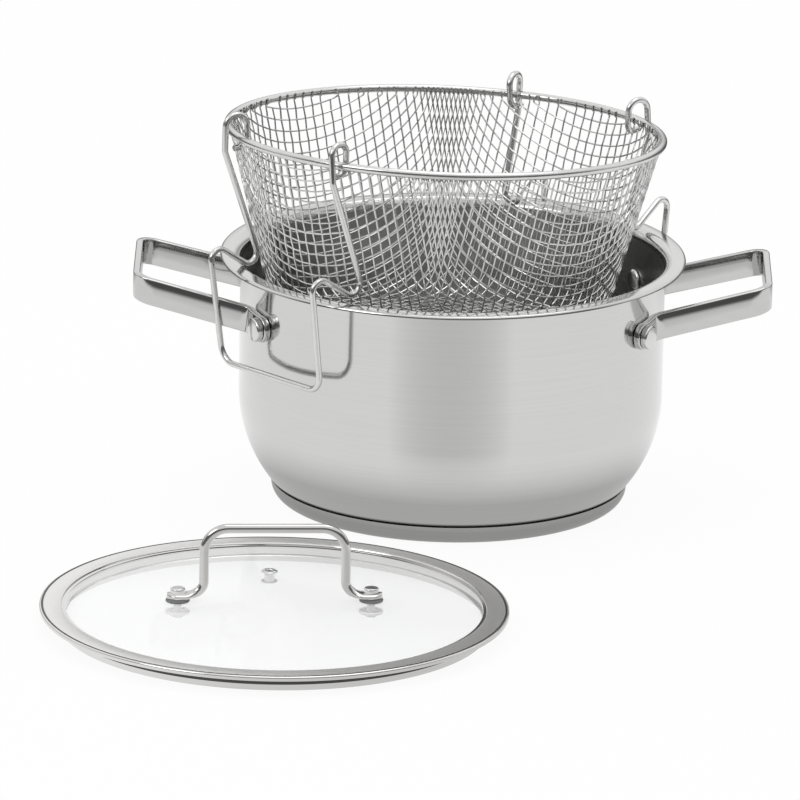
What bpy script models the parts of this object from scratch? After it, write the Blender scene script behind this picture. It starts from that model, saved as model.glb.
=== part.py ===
"""Deep fryer pot with a hanging wire basket and a glass lid.

Metres, +Z up. The origin is the centre of the pot's base on the table, the pot's handles
lie along X, and the lid lies on the table in front of the pot, at -X and -Y.
The basket hangs in its draining position, on four wire hooks over the pot's rim.
"""
import math

import bmesh
import bpy
from mathutils import Matrix, Vector

# Fits between pieces
TOUCH_GAP = 0.0003
CUT_OVERRUN = 0.004
WELD_DISTANCE = 0.00001

# Pot bowl, a 24 cm casserole of drawn steel sheet
POT_RADIUS = 0.1195
POT_HEIGHT = 0.142
POT_WALL = 0.0008
POT_CORNER_RADIUS = 0.080
POT_CORNER_TURN = math.radians(40)
RIM_FLARE_RADIUS = 0.006
RIM_FLANGE_WIDTH = 0.0063
RIM_LIP_RADIUS = 0.0018
RIM_DROOP = 0.0004

# Encapsulated base: an aluminium core in a steel cap
BASE_HEIGHT = 0.0109
BASE_STEEL = 0.0010
BASE_SIDE_RADIUS = 0.0085
BASE_INSET = 0.0191
BASE_RADIUS = POT_RADIUS - BASE_INSET

# Strap handles of the pot
STRAP_HEIGHT = 0.015
STRAP_THICKNESS = 0.004
STRAP_EDGE = 0.0008
STRAP_TIP_SHARE = 0.25
HANDLE_LENGTH = 0.0595
HANDLE_REACH = POT_RADIUS + HANDLE_LENGTH
HANDLE_RISE = math.radians(14.31)
HANDLE_TAPER = math.radians(3)
LUG_BEND_RADIUS = 0.007
LUG_LENGTH = 0.0222
CORNER_BEND_RADIUS = 0.010
RIVET_ANGLE = math.radians(29)
RIVET_DROP = 0.030
RIVET_HEIGHT = POT_HEIGHT - RIVET_DROP
RIVET_HEAD_RADIUS = 0.0068
RIVET_HEAD_HEIGHT = 0.0036
RIVET_SHANK_RADIUS = 0.0030
RIVET_INNER_RADIUS = 0.0062
RIVET_INNER_HEIGHT = 0.0022
# Distance from the axis and height, as shares of the rivet's heads
INNER_HEAD_SHARES = ((0, 1), (0.5, 0.85), (1, 0.2), (1, 0))
HEAD_DOME_SHARE = 1 / 3
HEAD_EDGE_SHARE = 0.25

# Wire basket
BASKET_OVERHANG = 0.0025
BASKET_RIM_RADIUS = POT_RADIUS + BASKET_OVERHANG
BASKET_RISE = 0.0702
BASKET_RIM_HEIGHT = POT_HEIGHT + BASKET_RISE
BASKET_RIM_WIRE = 0.0023
BASKET_DEPTH = 0.113
BASKET_TAPER = math.radians(15.0)
BASKET_CORNER_RADIUS = 0.018
BASKET_OFFSET_X = -0.0055
BASKET_TILT_X = math.radians(-1.375)
BASKET_TILT_Y = math.radians(-3.4335)
NET_PITCH = 0.0193
NET_WIRE = 0.0011
NET_TURN = math.radians(44)
NET_SHORTEST_EDGE = 0.004
NET_REACH_SHARE = 1.3
HEM_ANGLE = math.radians(60)

# Wire bails, each with two eyes round the basket's rim and two hooks over the pot's rim
BAIL_WIRE = 0.00175
BAIL_FRONT_TURN = math.radians(219)
BAIL_REAR_TURN = math.radians(49)
BAIL_HALF_WIDTH = 0.0460
EYE_REACH = 0.0063
EYE_TOP = 0.0118
EYE_STUB = 0.0035
EYE_LEAN = 0.0024
EYE_BEND = 0.0035
EYE_TOP_BEND = 0.006
LEG_START = 0.009
HOOK_DEPTH = 0.0067
HOOK_INSET = 0.0185
HOOK_RISE = 0.0190
HOOK_OUTSET = 0.0146
HOOK_BEND = 0.006
BAR_DROP = 0.0510
BAR_HALF_WIDTH = 0.0440
BAR_WALL_GAP = 0.0080
BAR_BEND = 0.010

# Glass lid in its steel hoop
LID_X = -0.0945
LID_Y = -0.251
LID_TURN = math.radians(3.8)
LID_FIT = 0.0012
LID_SKIRT_HEIGHT = 0.0099
LID_FLANGE_WIDTH = 0.0105
LID_STEEL = 0.0010
GLASS_THICKNESS = 0.0040
GLASS_EDGE_INSET = 0.0020
GLASS_RISE = 0.0030
GLASS_STATION_SHARES = (0, 0.35, 0.6, 0.8, 1.0)
HOOP_GRIP = 0.0030
HOOP_CREST = 0.0005
HOOP_GROOVE = 0.0006
HOOP_GROOVE_WIDTH = 0.0015
VENT_DISTANCE = 0.054
VENT_FLANGE_RADIUS = 0.0045
VENT_TUBE_RADIUS = 0.0026
VENT_BORE_RADIUS = 0.0014
VENT_FLANGE_HEIGHT = 0.0010

# Rod handle of the lid and its fixings
ROD_RADIUS = 0.0026
LID_POST_HALF_SPAN = 0.0386
LID_HANDLE_HEIGHT = 0.0545
LID_ROD_BEND = 0.007
LID_TOP_BEND = 0.013
LID_LUG_HALF_WIDTH = 0.0058
LID_LUG_THICKNESS = 0.0026
LID_LUG_LENGTH = 0.0120
LUG_TIP_SHARE = 0.25
LID_SCREW_HALF_SPAN = 0.0527
SCREW_HEAD_RADIUS = 0.0041
SCREW_HEAD_HEIGHT = 0.0036
SCREW_SHANK_RADIUS = 0.0020
SCREW_TAIL_RADIUS = 0.0036
SCREW_TAIL_HEIGHT = 0.0016
SCREW_EDGE_SHARE = 0.7
SCREW_CROWN_SHARE = 0.75
GROMMET_RADIUS = 0.0072
GROMMET_THICKNESS = 0.0012

# Facets
ROUND_STEPS = 56
SMALL_STEPS = 16
ARC_STEPS = 3
BOWL_STEPS = 5
LUG_STEPS = 5
WIRE_SIDES = 6
WIRE_BEND_STEPS = 4

# Material name: colour, metallic, roughness
FINISHES = {
    "polished_steel": ((0.72, 0.72, 0.71, 1.0), 1.0, 0.18),
    "satin_base_steel": ((0.45, 0.45, 0.45, 1.0), 1.0, 0.40),
    "core_aluminium": ((0.78, 0.79, 0.80, 1.0), 1.0, 0.35),
    "wire_steel": ((0.68, 0.68, 0.67, 1.0), 1.0, 0.22),
    "rivet_steel": ((0.70, 0.70, 0.69, 1.0), 1.0, 0.25),
    "lid_glass": ((0.93, 0.96, 0.95, 0.35), 0.0, 0.02),
    "grey_silicone": ((0.30, 0.30, 0.30, 1.0), 0.0, 0.60),
}


def clear_scene():
    for old in list(bpy.data.objects):
        bpy.data.objects.remove(old, do_unlink=True)


def finish_material(name):
    material = bpy.data.materials.get(name)
    if material is None:
        colour, metallic, roughness = FINISHES[name]
        material = bpy.data.materials.new(name)
        material.use_nodes = True
        shader = material.node_tree.nodes["Principled BSDF"]
        shader.inputs["Base Color"].default_value = colour
        shader.inputs["Metallic"].default_value = metallic
        shader.inputs["Roughness"].default_value = roughness
        shader.inputs["Alpha"].default_value = colour[3]
    return material


def place(item, parent):
    if parent is not None:
        item.parent = parent
    bpy.context.scene.collection.objects.link(item)
    return item


def empty(name, matrix):
    marker = bpy.data.objects.new(name, None)
    marker.matrix_world = matrix
    bpy.context.scene.collection.objects.link(marker)
    return marker


def mesh_object(name, bm, finish, parent=None, smooth_angle=math.radians(35)):
    bmesh.ops.recalc_face_normals(bm, faces=bm.faces)
    mesh = bpy.data.meshes.new(name)
    bm.to_mesh(mesh)
    bm.free()
    mesh.shade_smooth()
    mesh.set_sharp_from_angle(angle=smooth_angle)
    mesh.materials.append(finish_material(finish))
    return place(bpy.data.objects.new(name, mesh), parent)


def arc(centre, radius, start, end, steps=ARC_STEPS):
    """Points (radius, height) on an arc, from the start angle to the end angle."""
    points = []
    for step in range(steps + 1):
        angle = start + (end - start) * step / steps
        points.append((centre[0] + radius * math.cos(angle), centre[1] + radius * math.sin(angle)))
    return points


def turned_mesh(outline, steps):
    """Turn a closed outline of (radius, height) points about Z. Points on the axis become poles."""
    bm = bmesh.new()
    rings = []
    for radius, height in outline:
        if radius < WELD_DISTANCE:
            rings.append([bm.verts.new((0, 0, height))])
            continue
        ring = []
        for step in range(steps):
            angle = math.tau * step / steps
            ring.append(bm.verts.new((radius * math.cos(angle), radius * math.sin(angle), height)))
        rings.append(ring)
    for ring, following in zip(rings, rings[1:] + rings[:1]):
        join_rings(bm, ring, following, steps)
    return bm


def join_rings(bm, ring, following, steps):
    if len(ring) == 1 and len(following) == 1:
        return
    for step in range(steps):
        ahead = (step + 1) % steps
        if len(ring) == 1:
            bm.faces.new((ring[0], following[ahead], following[step]))
        elif len(following) == 1:
            bm.faces.new((ring[step], ring[ahead], following[0]))
        else:
            bm.faces.new((ring[step], ring[ahead], following[ahead], following[step]))


def turned(name, outline, finish, parent=None, steps=ROUND_STEPS):
    return mesh_object(name, turned_mesh(outline, steps), finish, parent)


def lofted(name, rings, finish, parent=None):
    """Join rings of points into one closed body with flat ends."""
    bm = bmesh.new()
    loops = [[bm.verts.new(point) for point in ring] for ring in rings]
    sides = len(loops[0])
    for loop, following in zip(loops, loops[1:]):
        join_rings(bm, loop, following, sides)
    bm.faces.new(loops[0])
    bm.faces.new(loops[-1])
    return mesh_object(name, bm, finish, parent)


def wire(name, points, radius, finish, parent=None, closed=False):
    """A round wire along a list of points."""
    curve = bpy.data.curves.new(name, "CURVE")
    curve.dimensions = "3D"
    curve.bevel_depth = radius
    curve.bevel_resolution = (WIRE_SIDES - 4) // 2
    curve.use_fill_caps = True
    curve.resolution_u = 1
    curve.render_resolution_u = 0
    spline = curve.splines.new("POLY")
    spline.points.add(len(points) - 1)
    for spot, point in zip(spline.points, points):
        spot.co = (point[0], point[1], point[2], 1.0)
    spline.use_cyclic_u = closed
    spline.use_smooth = True
    curve.materials.append(finish_material(finish))
    return place(bpy.data.objects.new(name, curve), parent)


def rounded_path(corners, steps=WIRE_BEND_STEPS):
    """A path through (point, bend radius) corners, each corner rounded to its radius."""
    path = [Vector(corners[0][0])]
    for before, (corner, bend), after in zip(corners, corners[1:-1], corners[2:]):
        corner = Vector(corner)
        towards = (Vector(before[0]) - corner).normalized()
        away = (Vector(after[0]) - corner).normalized()
        half = towards.angle(away) / 2
        bisector = (towards + away).normalized()
        centre = corner + bisector * (bend / math.sin(half))
        first = corner + towards * (bend / math.tan(half)) - centre
        last = corner + away * (bend / math.tan(half)) - centre
        turn = first.angle(last)
        for step in range(steps + 1):
            share = step / steps
            weight_first = math.sin((1 - share) * turn) / math.sin(turn)
            weight_last = math.sin(share * turn) / math.sin(turn)
            path.append(centre + first * weight_first + last * weight_last)
    path.append(Vector(corners[-1][0]))
    return path


def cutter(name, radius, length, matrix, steps=SMALL_STEPS):
    bm = bmesh.new()
    bmesh.ops.create_cone(bm, cap_ends=True, segments=steps, radius1=radius, radius2=radius,
                          depth=length)
    tool = mesh_object(name, bm, "rivet_steel")
    tool.matrix_world = matrix
    tool.hide_render = True
    tool.display_type = "WIRE"
    return tool


def cut(target, tool):
    hole = target.modifiers.new(tool.name, "BOOLEAN")
    hole.operation = "DIFFERENCE"
    hole.solver = "EXACT"
    hole.object = tool


# The bowl

def flare_centre():
    return (POT_RADIUS - POT_WALL + RIM_FLARE_RADIUS, POT_HEIGHT - RIM_FLARE_RADIUS)


def flange_radius():
    return flare_centre()[0] + RIM_FLANGE_WIDTH


def corner_centre(radius=POT_CORNER_RADIUS):
    """Centre of the big arc between the wall and the floor, for the outside of the bowl."""
    foot = corner_foot()
    drop = radius * math.sin(POT_CORNER_TURN)
    return (POT_RADIUS - radius, foot[1] + drop)


def corner_foot():
    """Where the big arc meets the small bend into the floor, on the outside of the bowl."""
    run_in = POT_CORNER_RADIUS * (1 - math.cos(POT_CORNER_TURN))
    return (POT_RADIUS - run_in, BASE_HEIGHT + POT_WALL)


def bowl_outside():
    centre = corner_centre()
    flare = flare_centre()
    lip = (flange_radius() - RIM_LIP_RADIUS, POT_HEIGHT - RIM_DROOP - RIM_LIP_RADIUS)
    points = [(0, BASE_HEIGHT), (corner_foot()[0] - RIM_LIP_RADIUS, BASE_HEIGHT)]
    points += arc(centre, POT_CORNER_RADIUS, -POT_CORNER_TURN, 0, BOWL_STEPS)
    points += arc(flare, RIM_FLARE_RADIUS - POT_WALL, math.pi, math.pi / 2)
    points += arc(lip, RIM_LIP_RADIUS - POT_WALL, math.pi / 2, 0, 2)
    return points


def bowl_inside():
    centre = corner_centre()
    flare = flare_centre()
    lip = (flange_radius() - RIM_LIP_RADIUS, POT_HEIGHT - RIM_DROOP - RIM_LIP_RADIUS)
    points = arc(lip, RIM_LIP_RADIUS, 0, math.pi / 2, 2)
    points += arc(flare, RIM_FLARE_RADIUS, math.pi / 2, math.pi)
    points += arc(centre, POT_CORNER_RADIUS - POT_WALL, 0, -POT_CORNER_TURN, BOWL_STEPS)
    floor = BASE_HEIGHT + POT_WALL
    return points + [(corner_foot()[0] - RIM_FLARE_RADIUS, floor), (0, floor)]


def make_bowl():
    return turned("pot_body", bowl_outside() + bowl_inside(), "polished_steel")


def make_base():
    seam = BASE_HEIGHT - TOUCH_GAP
    bend = (BASE_RADIUS - BASE_SIDE_RADIUS, BASE_SIDE_RADIUS)
    inner = BASE_SIDE_RADIUS - BASE_STEEL
    outline = [(0, 0)] + arc(bend, BASE_SIDE_RADIUS, -math.pi / 2, 0) + [(BASE_RADIUS, seam)]
    outline += [(BASE_RADIUS - BASE_STEEL, seam)]
    outline += arc(bend, inner, 0, -math.pi / 2) + [(0, BASE_STEEL)]
    turned("base_capsule", outline, "satin_base_steel")
    core = inner - TOUCH_GAP
    outline = [(0, BASE_STEEL + TOUCH_GAP)] + arc(bend, core, -math.pi / 2, 0)
    outline += [(bend[0] + core, seam), (0, seam)]
    turned("base_core", outline, "core_aluminium")


# Handles of the pot

def strap_ring(spot, heading, half_height):
    """Section of the strap: a flat bar with eased edges, standing on its edge."""
    across = Vector((heading.y, -heading.x, 0)).normalized()
    half_thick = STRAP_THICKNESS / 2
    edge = min(STRAP_EDGE, half_height / 2)
    profile = [
        (-half_thick, -half_height + edge), (-half_thick + edge, -half_height),
        (half_thick - edge, -half_height), (half_thick, -half_height + edge),
        (half_thick, half_height - edge), (half_thick - edge, half_height),
        (-half_thick + edge, half_height), (-half_thick, half_height - edge),
    ]
    return [spot + across * side + Vector((0, 0, rise)) for side, rise in profile]


def handle_height(spot):
    """The loop climbs steadily from its rivets to its outer bar."""
    root = (POT_RADIUS + STRAP_THICKNESS) * math.cos(RIVET_ANGLE)
    return RIVET_HEIGHT + math.tan(HANDLE_RISE) * max(0, spot.x - root)


def lug_radius():
    return POT_RADIUS + TOUCH_GAP + STRAP_THICKNESS / 2


def handle_plan():
    """Centre line of half a handle, from the lug's end to the middle of the outer bar."""
    seat = lug_radius()
    lug_half = (LUG_LENGTH / 2) / seat
    lug_end = RIVET_ANGLE + (STRAP_HEIGHT / 2) / seat
    bend_start = RIVET_ANGLE - (LUG_LENGTH - STRAP_HEIGHT / 2) / seat + lug_half / 4
    points = []
    for step in range(LUG_STEPS):
        easing = 1 - math.cos(math.pi / 2 * step / LUG_STEPS)
        angle = lug_end + (bend_start - lug_end) * easing
        points.append(Vector((seat * math.cos(angle), seat * math.sin(angle), 0)))
    heading = Vector((math.sin(bend_start), -math.cos(bend_start), 0))
    start = Vector((seat * math.cos(bend_start), seat * math.sin(bend_start), 0))
    outward = Vector((math.cos(bend_start), math.sin(bend_start), 0))
    centre = start + outward * LUG_BEND_RADIUS
    first_angle = math.atan2(heading.y, heading.x) - math.pi / 2
    last_angle = -HANDLE_TAPER - math.pi / 2
    for step in range(ARC_STEPS + 2):
        angle = first_angle + (last_angle - first_angle) * step / (ARC_STEPS + 1)
        points.append(centre + Vector((math.cos(angle), math.sin(angle), 0)) * LUG_BEND_RADIUS)
    arm_start = points[-1]
    bar_x = HANDLE_REACH - STRAP_THICKNESS / 2
    corner = Vector((bar_x, arm_start.y - (bar_x - arm_start.x) * math.tan(HANDLE_TAPER), 0))
    middle = Vector((bar_x, 0, 0))
    bend = rounded_path([(arm_start, 0), (corner, CORNER_BEND_RADIUS), (middle, 0)])
    return points + bend[1:]


def make_handles():
    half = handle_plan()
    mirrored = [Vector((p.x, -p.y, 0)) for p in reversed(half[:-1])]
    plan = half + mirrored
    travelled = [0.0]
    for before, after in zip(plan, plan[1:]):
        travelled.append(travelled[-1] + (after - before).length)
    rings = []
    tip = STRAP_HEIGHT / 2
    for index, spot in enumerate(plan):
        before = plan[max(index - 1, 0)]
        after = plan[min(index + 1, len(plan) - 1)]
        from_end = min(travelled[index], travelled[-1] - travelled[index])
        short = max(tip - from_end, 0)
        half_height = max(math.sqrt(tip * tip - short * short), tip * STRAP_TIP_SHARE)
        lifted = spot + Vector((0, 0, handle_height(spot)))
        rings.append(strap_ring(lifted, after - before, half_height))
    right = lofted("pot_handle_right", rings, "polished_steel")
    left = bpy.data.objects.new("pot_handle_left", right.data)
    left.rotation_euler = (0, 0, math.pi)
    place(left, None)
    return right, left


def rivet_outline():
    """The rivet's section from its inner head to its outer head, along the rivet's own axis.

    Height 0 is the outer face of the pot's wall at the rivet.
    """
    lug_face = TOUCH_GAP + STRAP_THICKNESS + TOUCH_GAP
    wall_face = -POT_WALL - 2 * TOUCH_GAP
    dome = RIVET_HEAD_HEIGHT * HEAD_DOME_SHARE
    inner_head = [(RIVET_INNER_RADIUS * out, wall_face - RIVET_INNER_HEIGHT * up)
                  for out, up in INNER_HEAD_SHARES]
    return inner_head + [
        (RIVET_SHANK_RADIUS, wall_face),
        (RIVET_SHANK_RADIUS, lug_face),
        (RIVET_HEAD_RADIUS, lug_face),
        (RIVET_HEAD_RADIUS, lug_face + RIVET_HEAD_HEIGHT - dome),
        (RIVET_HEAD_RADIUS - dome, lug_face + RIVET_HEAD_HEIGHT - dome * HEAD_EDGE_SHARE),
        (0, lug_face + RIVET_HEAD_HEIGHT),
    ]


def rivet_frame(angle):
    """Z along the rivet's axis, pointing out of the pot."""
    spot = Matrix.Translation((POT_RADIUS * math.cos(angle), POT_RADIUS * math.sin(angle),
                               RIVET_HEIGHT))
    return spot @ Matrix.Rotation(angle, 4, "Z") @ Matrix.Rotation(math.pi / 2, 4, "Y")


def make_rivets(bowl, handles):
    places = {
        "right_rear": RIVET_ANGLE, "right_front": -RIVET_ANGLE,
        "left_front": math.pi + RIVET_ANGLE, "left_rear": math.pi - RIVET_ANGLE,
    }
    for where, angle in places.items():
        rivet = turned("handle_rivet_" + where, rivet_outline(), "rivet_steel", steps=SMALL_STEPS)
        rivet.matrix_world = rivet_frame(angle)
        length = 2 * (STRAP_THICKNESS + CUT_OVERRUN)
        tool = cutter("rivet_hole_" + where, RIVET_SHANK_RADIUS + TOUCH_GAP, length,
                      rivet_frame(angle))
        cut(bowl, tool)
        cut(handles[0] if where.startswith("right") else handles[1], tool)


# The basket. Its net is one square-woven sheet drawn into a cup, so its cells keep their side
# length and shear where the sheet has too much cloth, as a fishnet does.

def basket_frame():
    normal = Vector((-math.tan(BASKET_TILT_X), -math.tan(BASKET_TILT_Y), 1)).normalized()
    tilt = Vector((0, 0, 1)).rotation_difference(normal).to_matrix().to_4x4()
    return Matrix.Translation((BASKET_OFFSET_X, 0, BASKET_RIM_HEIGHT)) @ tilt


def net_top():
    """Depth of the net's hem under the centre of the rim wire, and its radius there."""
    reach = BASKET_RIM_WIRE + TOUCH_GAP + NET_WIRE * math.sqrt(0.5)
    return (BASKET_RIM_RADIUS - reach * math.cos(HEM_ANGLE), reach * math.sin(HEM_ANGLE))


def cup_point(a, b):
    """A point of the cup, from the sheet's own coordinates: distance from the middle and angle."""
    travelled = math.hypot(a, b)
    hem_radius, hem_depth = net_top()
    turn = math.pi / 2 - BASKET_TAPER
    wall_run = (BASKET_DEPTH - hem_depth - BASKET_CORNER_RADIUS * (1 - math.cos(turn)))
    wall_length = wall_run / math.cos(BASKET_TAPER)
    foot = hem_radius - wall_length * math.sin(BASKET_TAPER)
    flat = foot - BASKET_CORNER_RADIUS * math.sin(turn)
    bend_length = BASKET_CORNER_RADIUS * turn
    if travelled < flat:
        radius, height = travelled, -BASKET_DEPTH
    elif travelled < flat + bend_length:
        angle = (travelled - flat) / BASKET_CORNER_RADIUS
        radius = flat + BASKET_CORNER_RADIUS * math.sin(angle)
        height = -BASKET_DEPTH + BASKET_CORNER_RADIUS * (1 - math.cos(angle))
    else:
        along = travelled - flat - bend_length
        radius = foot + along * math.sin(BASKET_TAPER)
        height = -hem_depth - (wall_length - along) * math.cos(BASKET_TAPER)
    if travelled < WELD_DISTANCE:
        return Vector((0, 0, height))
    return Vector((radius * a / travelled, radius * b / travelled, height))


def find_knot(guess, misses):
    """Newton steps on the sheet until both misses, in metres, are nothing."""
    a, b = guess
    nudge = NET_PITCH / 1000
    for _ in range(30):
        first, second = misses(a, b)
        if abs(first) + abs(second) < WELD_DISTANCE:
            return (a, b)
        by_a, by_b = misses(a + nudge, b), misses(a, b + nudge)
        slope = [(by_a[0] - first) / nudge, (by_b[0] - first) / nudge,
                 (by_a[1] - second) / nudge, (by_b[1] - second) / nudge]
        scale = slope[0] * slope[3] - slope[1] * slope[2]
        if abs(scale) < 0.01:
            return None
        a -= (first * slope[3] - second * slope[1]) / scale
        b -= (second * slope[0] - first * slope[2]) / scale
    return None


def next_knot(before, left, right):
    """The fourth corner of a cell whose four sides are all one pitch long."""
    from_left, from_right = cup_point(*left), cup_point(*right)

    def misses(a, b):
        here = cup_point(a, b)
        return ((here - from_left).length - NET_PITCH, (here - from_right).length - NET_PITCH)

    return find_knot((left[0] + right[0] - before[0], left[1] + right[1] - before[1]), misses)


def next_middle_knot(last):
    """The next knot of the strip of cells that lies over the middle line of the sheet."""
    from_last = cup_point(*last)

    def misses(a, b):
        here = cup_point(a, b)
        return ((here - from_last).length - NET_PITCH, 2 * here.y - NET_PITCH)

    return find_knot((last[0] + NET_PITCH, last[1]), misses)


def net_knots():
    """Knots of one quarter of the net, by column and row from the middle of the sheet."""
    reach = math.ceil(NET_REACH_SHARE * (BASKET_RIM_RADIUS + BASKET_DEPTH) / NET_PITCH)
    knots = {(0, 0): (NET_PITCH / 2, NET_PITCH / 2)}
    for step in range(1, reach):
        a, b = next_middle_knot(knots[(step - 1, 0)])
        knots[(step, 0)] = (a, b)
        knots[(0, step)] = (b, a)
    for column in range(1, reach):
        for row in range(1, reach):
            corners = [knots.get((column - 1, row - 1)), knots.get((column - 1, row)),
                       knots.get((column, row - 1))]
            if all(corners):
                knot = next_knot(*corners)
                if knot is not None and cup_point(*knot).z < 2 * NET_PITCH:
                    knots[(column, row)] = knot
    return knots


def make_net(frame):
    bm = bmesh.new()
    knots = net_knots()
    count = 1 + max(column for column, row in knots)
    verts = {}
    for column in range(-count, count):
        for row in range(-count, count):
            knot = knots.get((max(column, -column - 1), max(row, -row - 1)))
            if knot is not None:
                a = math.copysign(knot[0], column + 0.5)
                b = math.copysign(knot[1], row + 0.5)
                spot = Matrix.Rotation(NET_TURN, 3, "Z") @ cup_point(a, b)
                verts[(column, row)] = bm.verts.new(spot)
    for column, row in verts:
        cell = [(column, row), (column + 1, row), (column + 1, row + 1), (column, row + 1)]
        if all(corner in verts for corner in cell):
            bm.faces.new([verts[corner] for corner in cell])
    geometry = bm.verts[:] + bm.edges[:] + bm.faces[:]
    hem = (0, 0, -net_top()[1])
    bmesh.ops.bisect_plane(bm, geom=geometry, plane_co=hem, plane_no=(0, 0, 1), clear_outer=True)
    hem_verts = [v for v in bm.verts if abs(v.co.z - hem[2]) < WELD_DISTANCE]
    bmesh.ops.remove_doubles(bm, verts=hem_verts, dist=NET_SHORTEST_EDGE)
    short = [e for e in bm.edges if e.calc_length() < NET_SHORTEST_EDGE]
    bmesh.ops.collapse(bm, edges=short)
    net = mesh_object("basket_net", bm, "wire_steel", frame, smooth_angle=math.radians(100))
    wires = net.modifiers.new("wires", "WIREFRAME")
    wires.thickness = NET_WIRE
    wires.use_replace = True
    wires.use_boundary = True
    wires.use_even_offset = False
    return net


def make_basket():
    frame = empty("basket_hang", basket_frame())
    make_net(frame)
    circle = []
    for step in range(ROUND_STEPS):
        angle = math.tau * step / ROUND_STEPS
        circle.append((BASKET_RIM_RADIUS * math.cos(angle), BASKET_RIM_RADIUS * math.sin(angle), 0))
    wire("basket_rim", circle, BASKET_RIM_WIRE, "wire_steel", frame, closed=True)


# The bails

def eye_spot(turn, side):
    """Centre of the rim wire at one eye of a bail."""
    half_angle = math.asin(BAIL_HALF_WIDTH / BASKET_RIM_RADIUS)
    angle = turn + side * half_angle
    on_rim = (BASKET_RIM_RADIUS * math.cos(angle), BASKET_RIM_RADIUS * math.sin(angle), 0)
    return basket_frame() @ Vector(on_rim)


def bail_frame(turn):
    """X points out of the pot, Y along the line through both eyes, Z up."""
    first, last = eye_spot(turn, -1), eye_spot(turn, 1)
    along = (last - first).normalized()
    out = Vector((math.cos(turn), math.sin(turn), 0))
    up = out.cross(along).normalized()
    out = along.cross(up)
    axes = Matrix((out, along, up)).transposed().to_4x4()
    return Matrix.Translation((first + last) / 2) @ axes


def bail_corners(turn):
    """Corners and bends of one half of a bail, from its stub to its bottom bar."""
    middle = (eye_spot(turn, -1) + eye_spot(turn, 1)) / 2
    out = math.hypot(middle.x, middle.y)
    drop = middle.z - POT_HEIGHT
    half = BAIL_HALF_WIDTH
    mouth = math.sqrt(flare_centre()[0] ** 2 - half ** 2)
    flange = math.sqrt(flange_radius() ** 2 - half ** 2)
    bar = POT_RADIUS + BAIL_WIRE + BAR_WALL_GAP
    return [
        ((EYE_STUB, half - EYE_LEAN, -EYE_REACH), 0),
        ((-EYE_REACH, half - EYE_LEAN, -EYE_REACH), EYE_BEND),
        ((-EYE_REACH, half - EYE_LEAN / 2, EYE_TOP), EYE_TOP_BEND),
        ((EYE_REACH, half + EYE_LEAN / 2, EYE_TOP), EYE_TOP_BEND),
        ((EYE_REACH, half + EYE_LEAN, -LEG_START), EYE_BEND),
        ((mouth - HOOK_INSET - out, half, -drop - HOOK_DEPTH), HOOK_BEND),
        ((flange + HOOK_OUTSET - out, half, -drop + HOOK_RISE), HOOK_BEND),
        ((bar - out, BAR_HALF_WIDTH, -drop - BAR_DROP), BAR_BEND),
    ]


def make_bail(name, turn):
    frame = empty(name + "_axis", bail_frame(turn))
    half = bail_corners(turn)
    other = [((x, -y, z), bend) for (x, y, z), bend in reversed(half)]
    wire(name, rounded_path(half + other), BAIL_WIRE, "wire_steel", frame)


# The lid, built on its own axis with its skirt's lower edge at height 0

def skirt_radius():
    return POT_RADIUS - POT_WALL - LID_FIT


def glass_radius():
    return skirt_radius() - LID_STEEL - TOUCH_GAP


def glass_low():
    return LID_SKIRT_HEIGHT - GLASS_EDGE_INSET


def glass_top(radius):
    """Height of the glass's upper face at a distance from its middle."""
    edge = glass_radius() - HOOP_GRIP
    share = min(radius / edge, 1.0)
    return glass_low() + GLASS_THICKNESS + GLASS_RISE * (1 - share ** 2)


def make_glass(frame):
    edge = glass_radius() - HOOP_GRIP
    stations = [edge * share for share in GLASS_STATION_SHARES]
    upper = [(radius, glass_top(radius)) for radius in stations]
    lower = [(radius, glass_top(radius) - GLASS_THICKNESS) for radius in reversed(stations)]
    rim = [(glass_radius(), glass_low() + GLASS_THICKNESS), (glass_radius(), glass_low())]
    return turned("lid_glass", upper + rim + lower, "lid_glass", frame)


def make_hoop(frame):
    """One rolled ring: top lip on the glass, groove, flange, skirt and lower lip."""
    top = glass_low() + GLASS_THICKNESS + TOUCH_GAP
    low = glass_low() - TOUCH_GAP
    lip = glass_radius() - HOOP_GRIP + TOUCH_GAP
    channel = glass_radius() + TOUCH_GAP
    skirt = skirt_radius()
    flange = skirt + LID_FLANGE_WIDTH
    under = LID_SKIRT_HEIGHT
    edge = LID_STEEL / 2
    outline = [
        (lip, top), (lip, top + LID_STEEL), (skirt, top + LID_STEEL + HOOP_CREST),
        (skirt + HOOP_GROOVE_WIDTH, top + LID_STEEL - HOOP_GROOVE), (flange - edge, under + LID_STEEL),
        (flange, under + edge), (flange - edge, under),
        (skirt, under), (skirt, edge), (skirt - edge, 0), (skirt - LID_STEEL, edge),
        (skirt - LID_STEEL, low - LID_STEEL), (lip, low - LID_STEEL), (lip, low),
        (channel, low), (channel, top),
    ]
    return turned("lid_hoop", outline, "polished_steel", frame)


def lug_height():
    """Middle of the flattened lugs of the lid's handle."""
    return (glass_top(LID_SCREW_HALF_SPAN) + TOUCH_GAP + GROMMET_THICKNESS + TOUCH_GAP
            + LID_LUG_THICKNESS / 2)


def rod_ring(spot, heading, half_width, half_thick):
    """Section of the rod: round along the posts and bar, flattened at the lugs."""
    up = Vector((0, 1, 0)).cross(heading).normalized()
    ring = []
    sides = 8
    for side in range(sides):
        angle = math.tau * (side + 0.5) / sides
        ring.append(spot + Vector((0, 1, 0)) * half_width * math.cos(angle)
                    + up * half_thick * math.sin(angle))
    return ring


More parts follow.
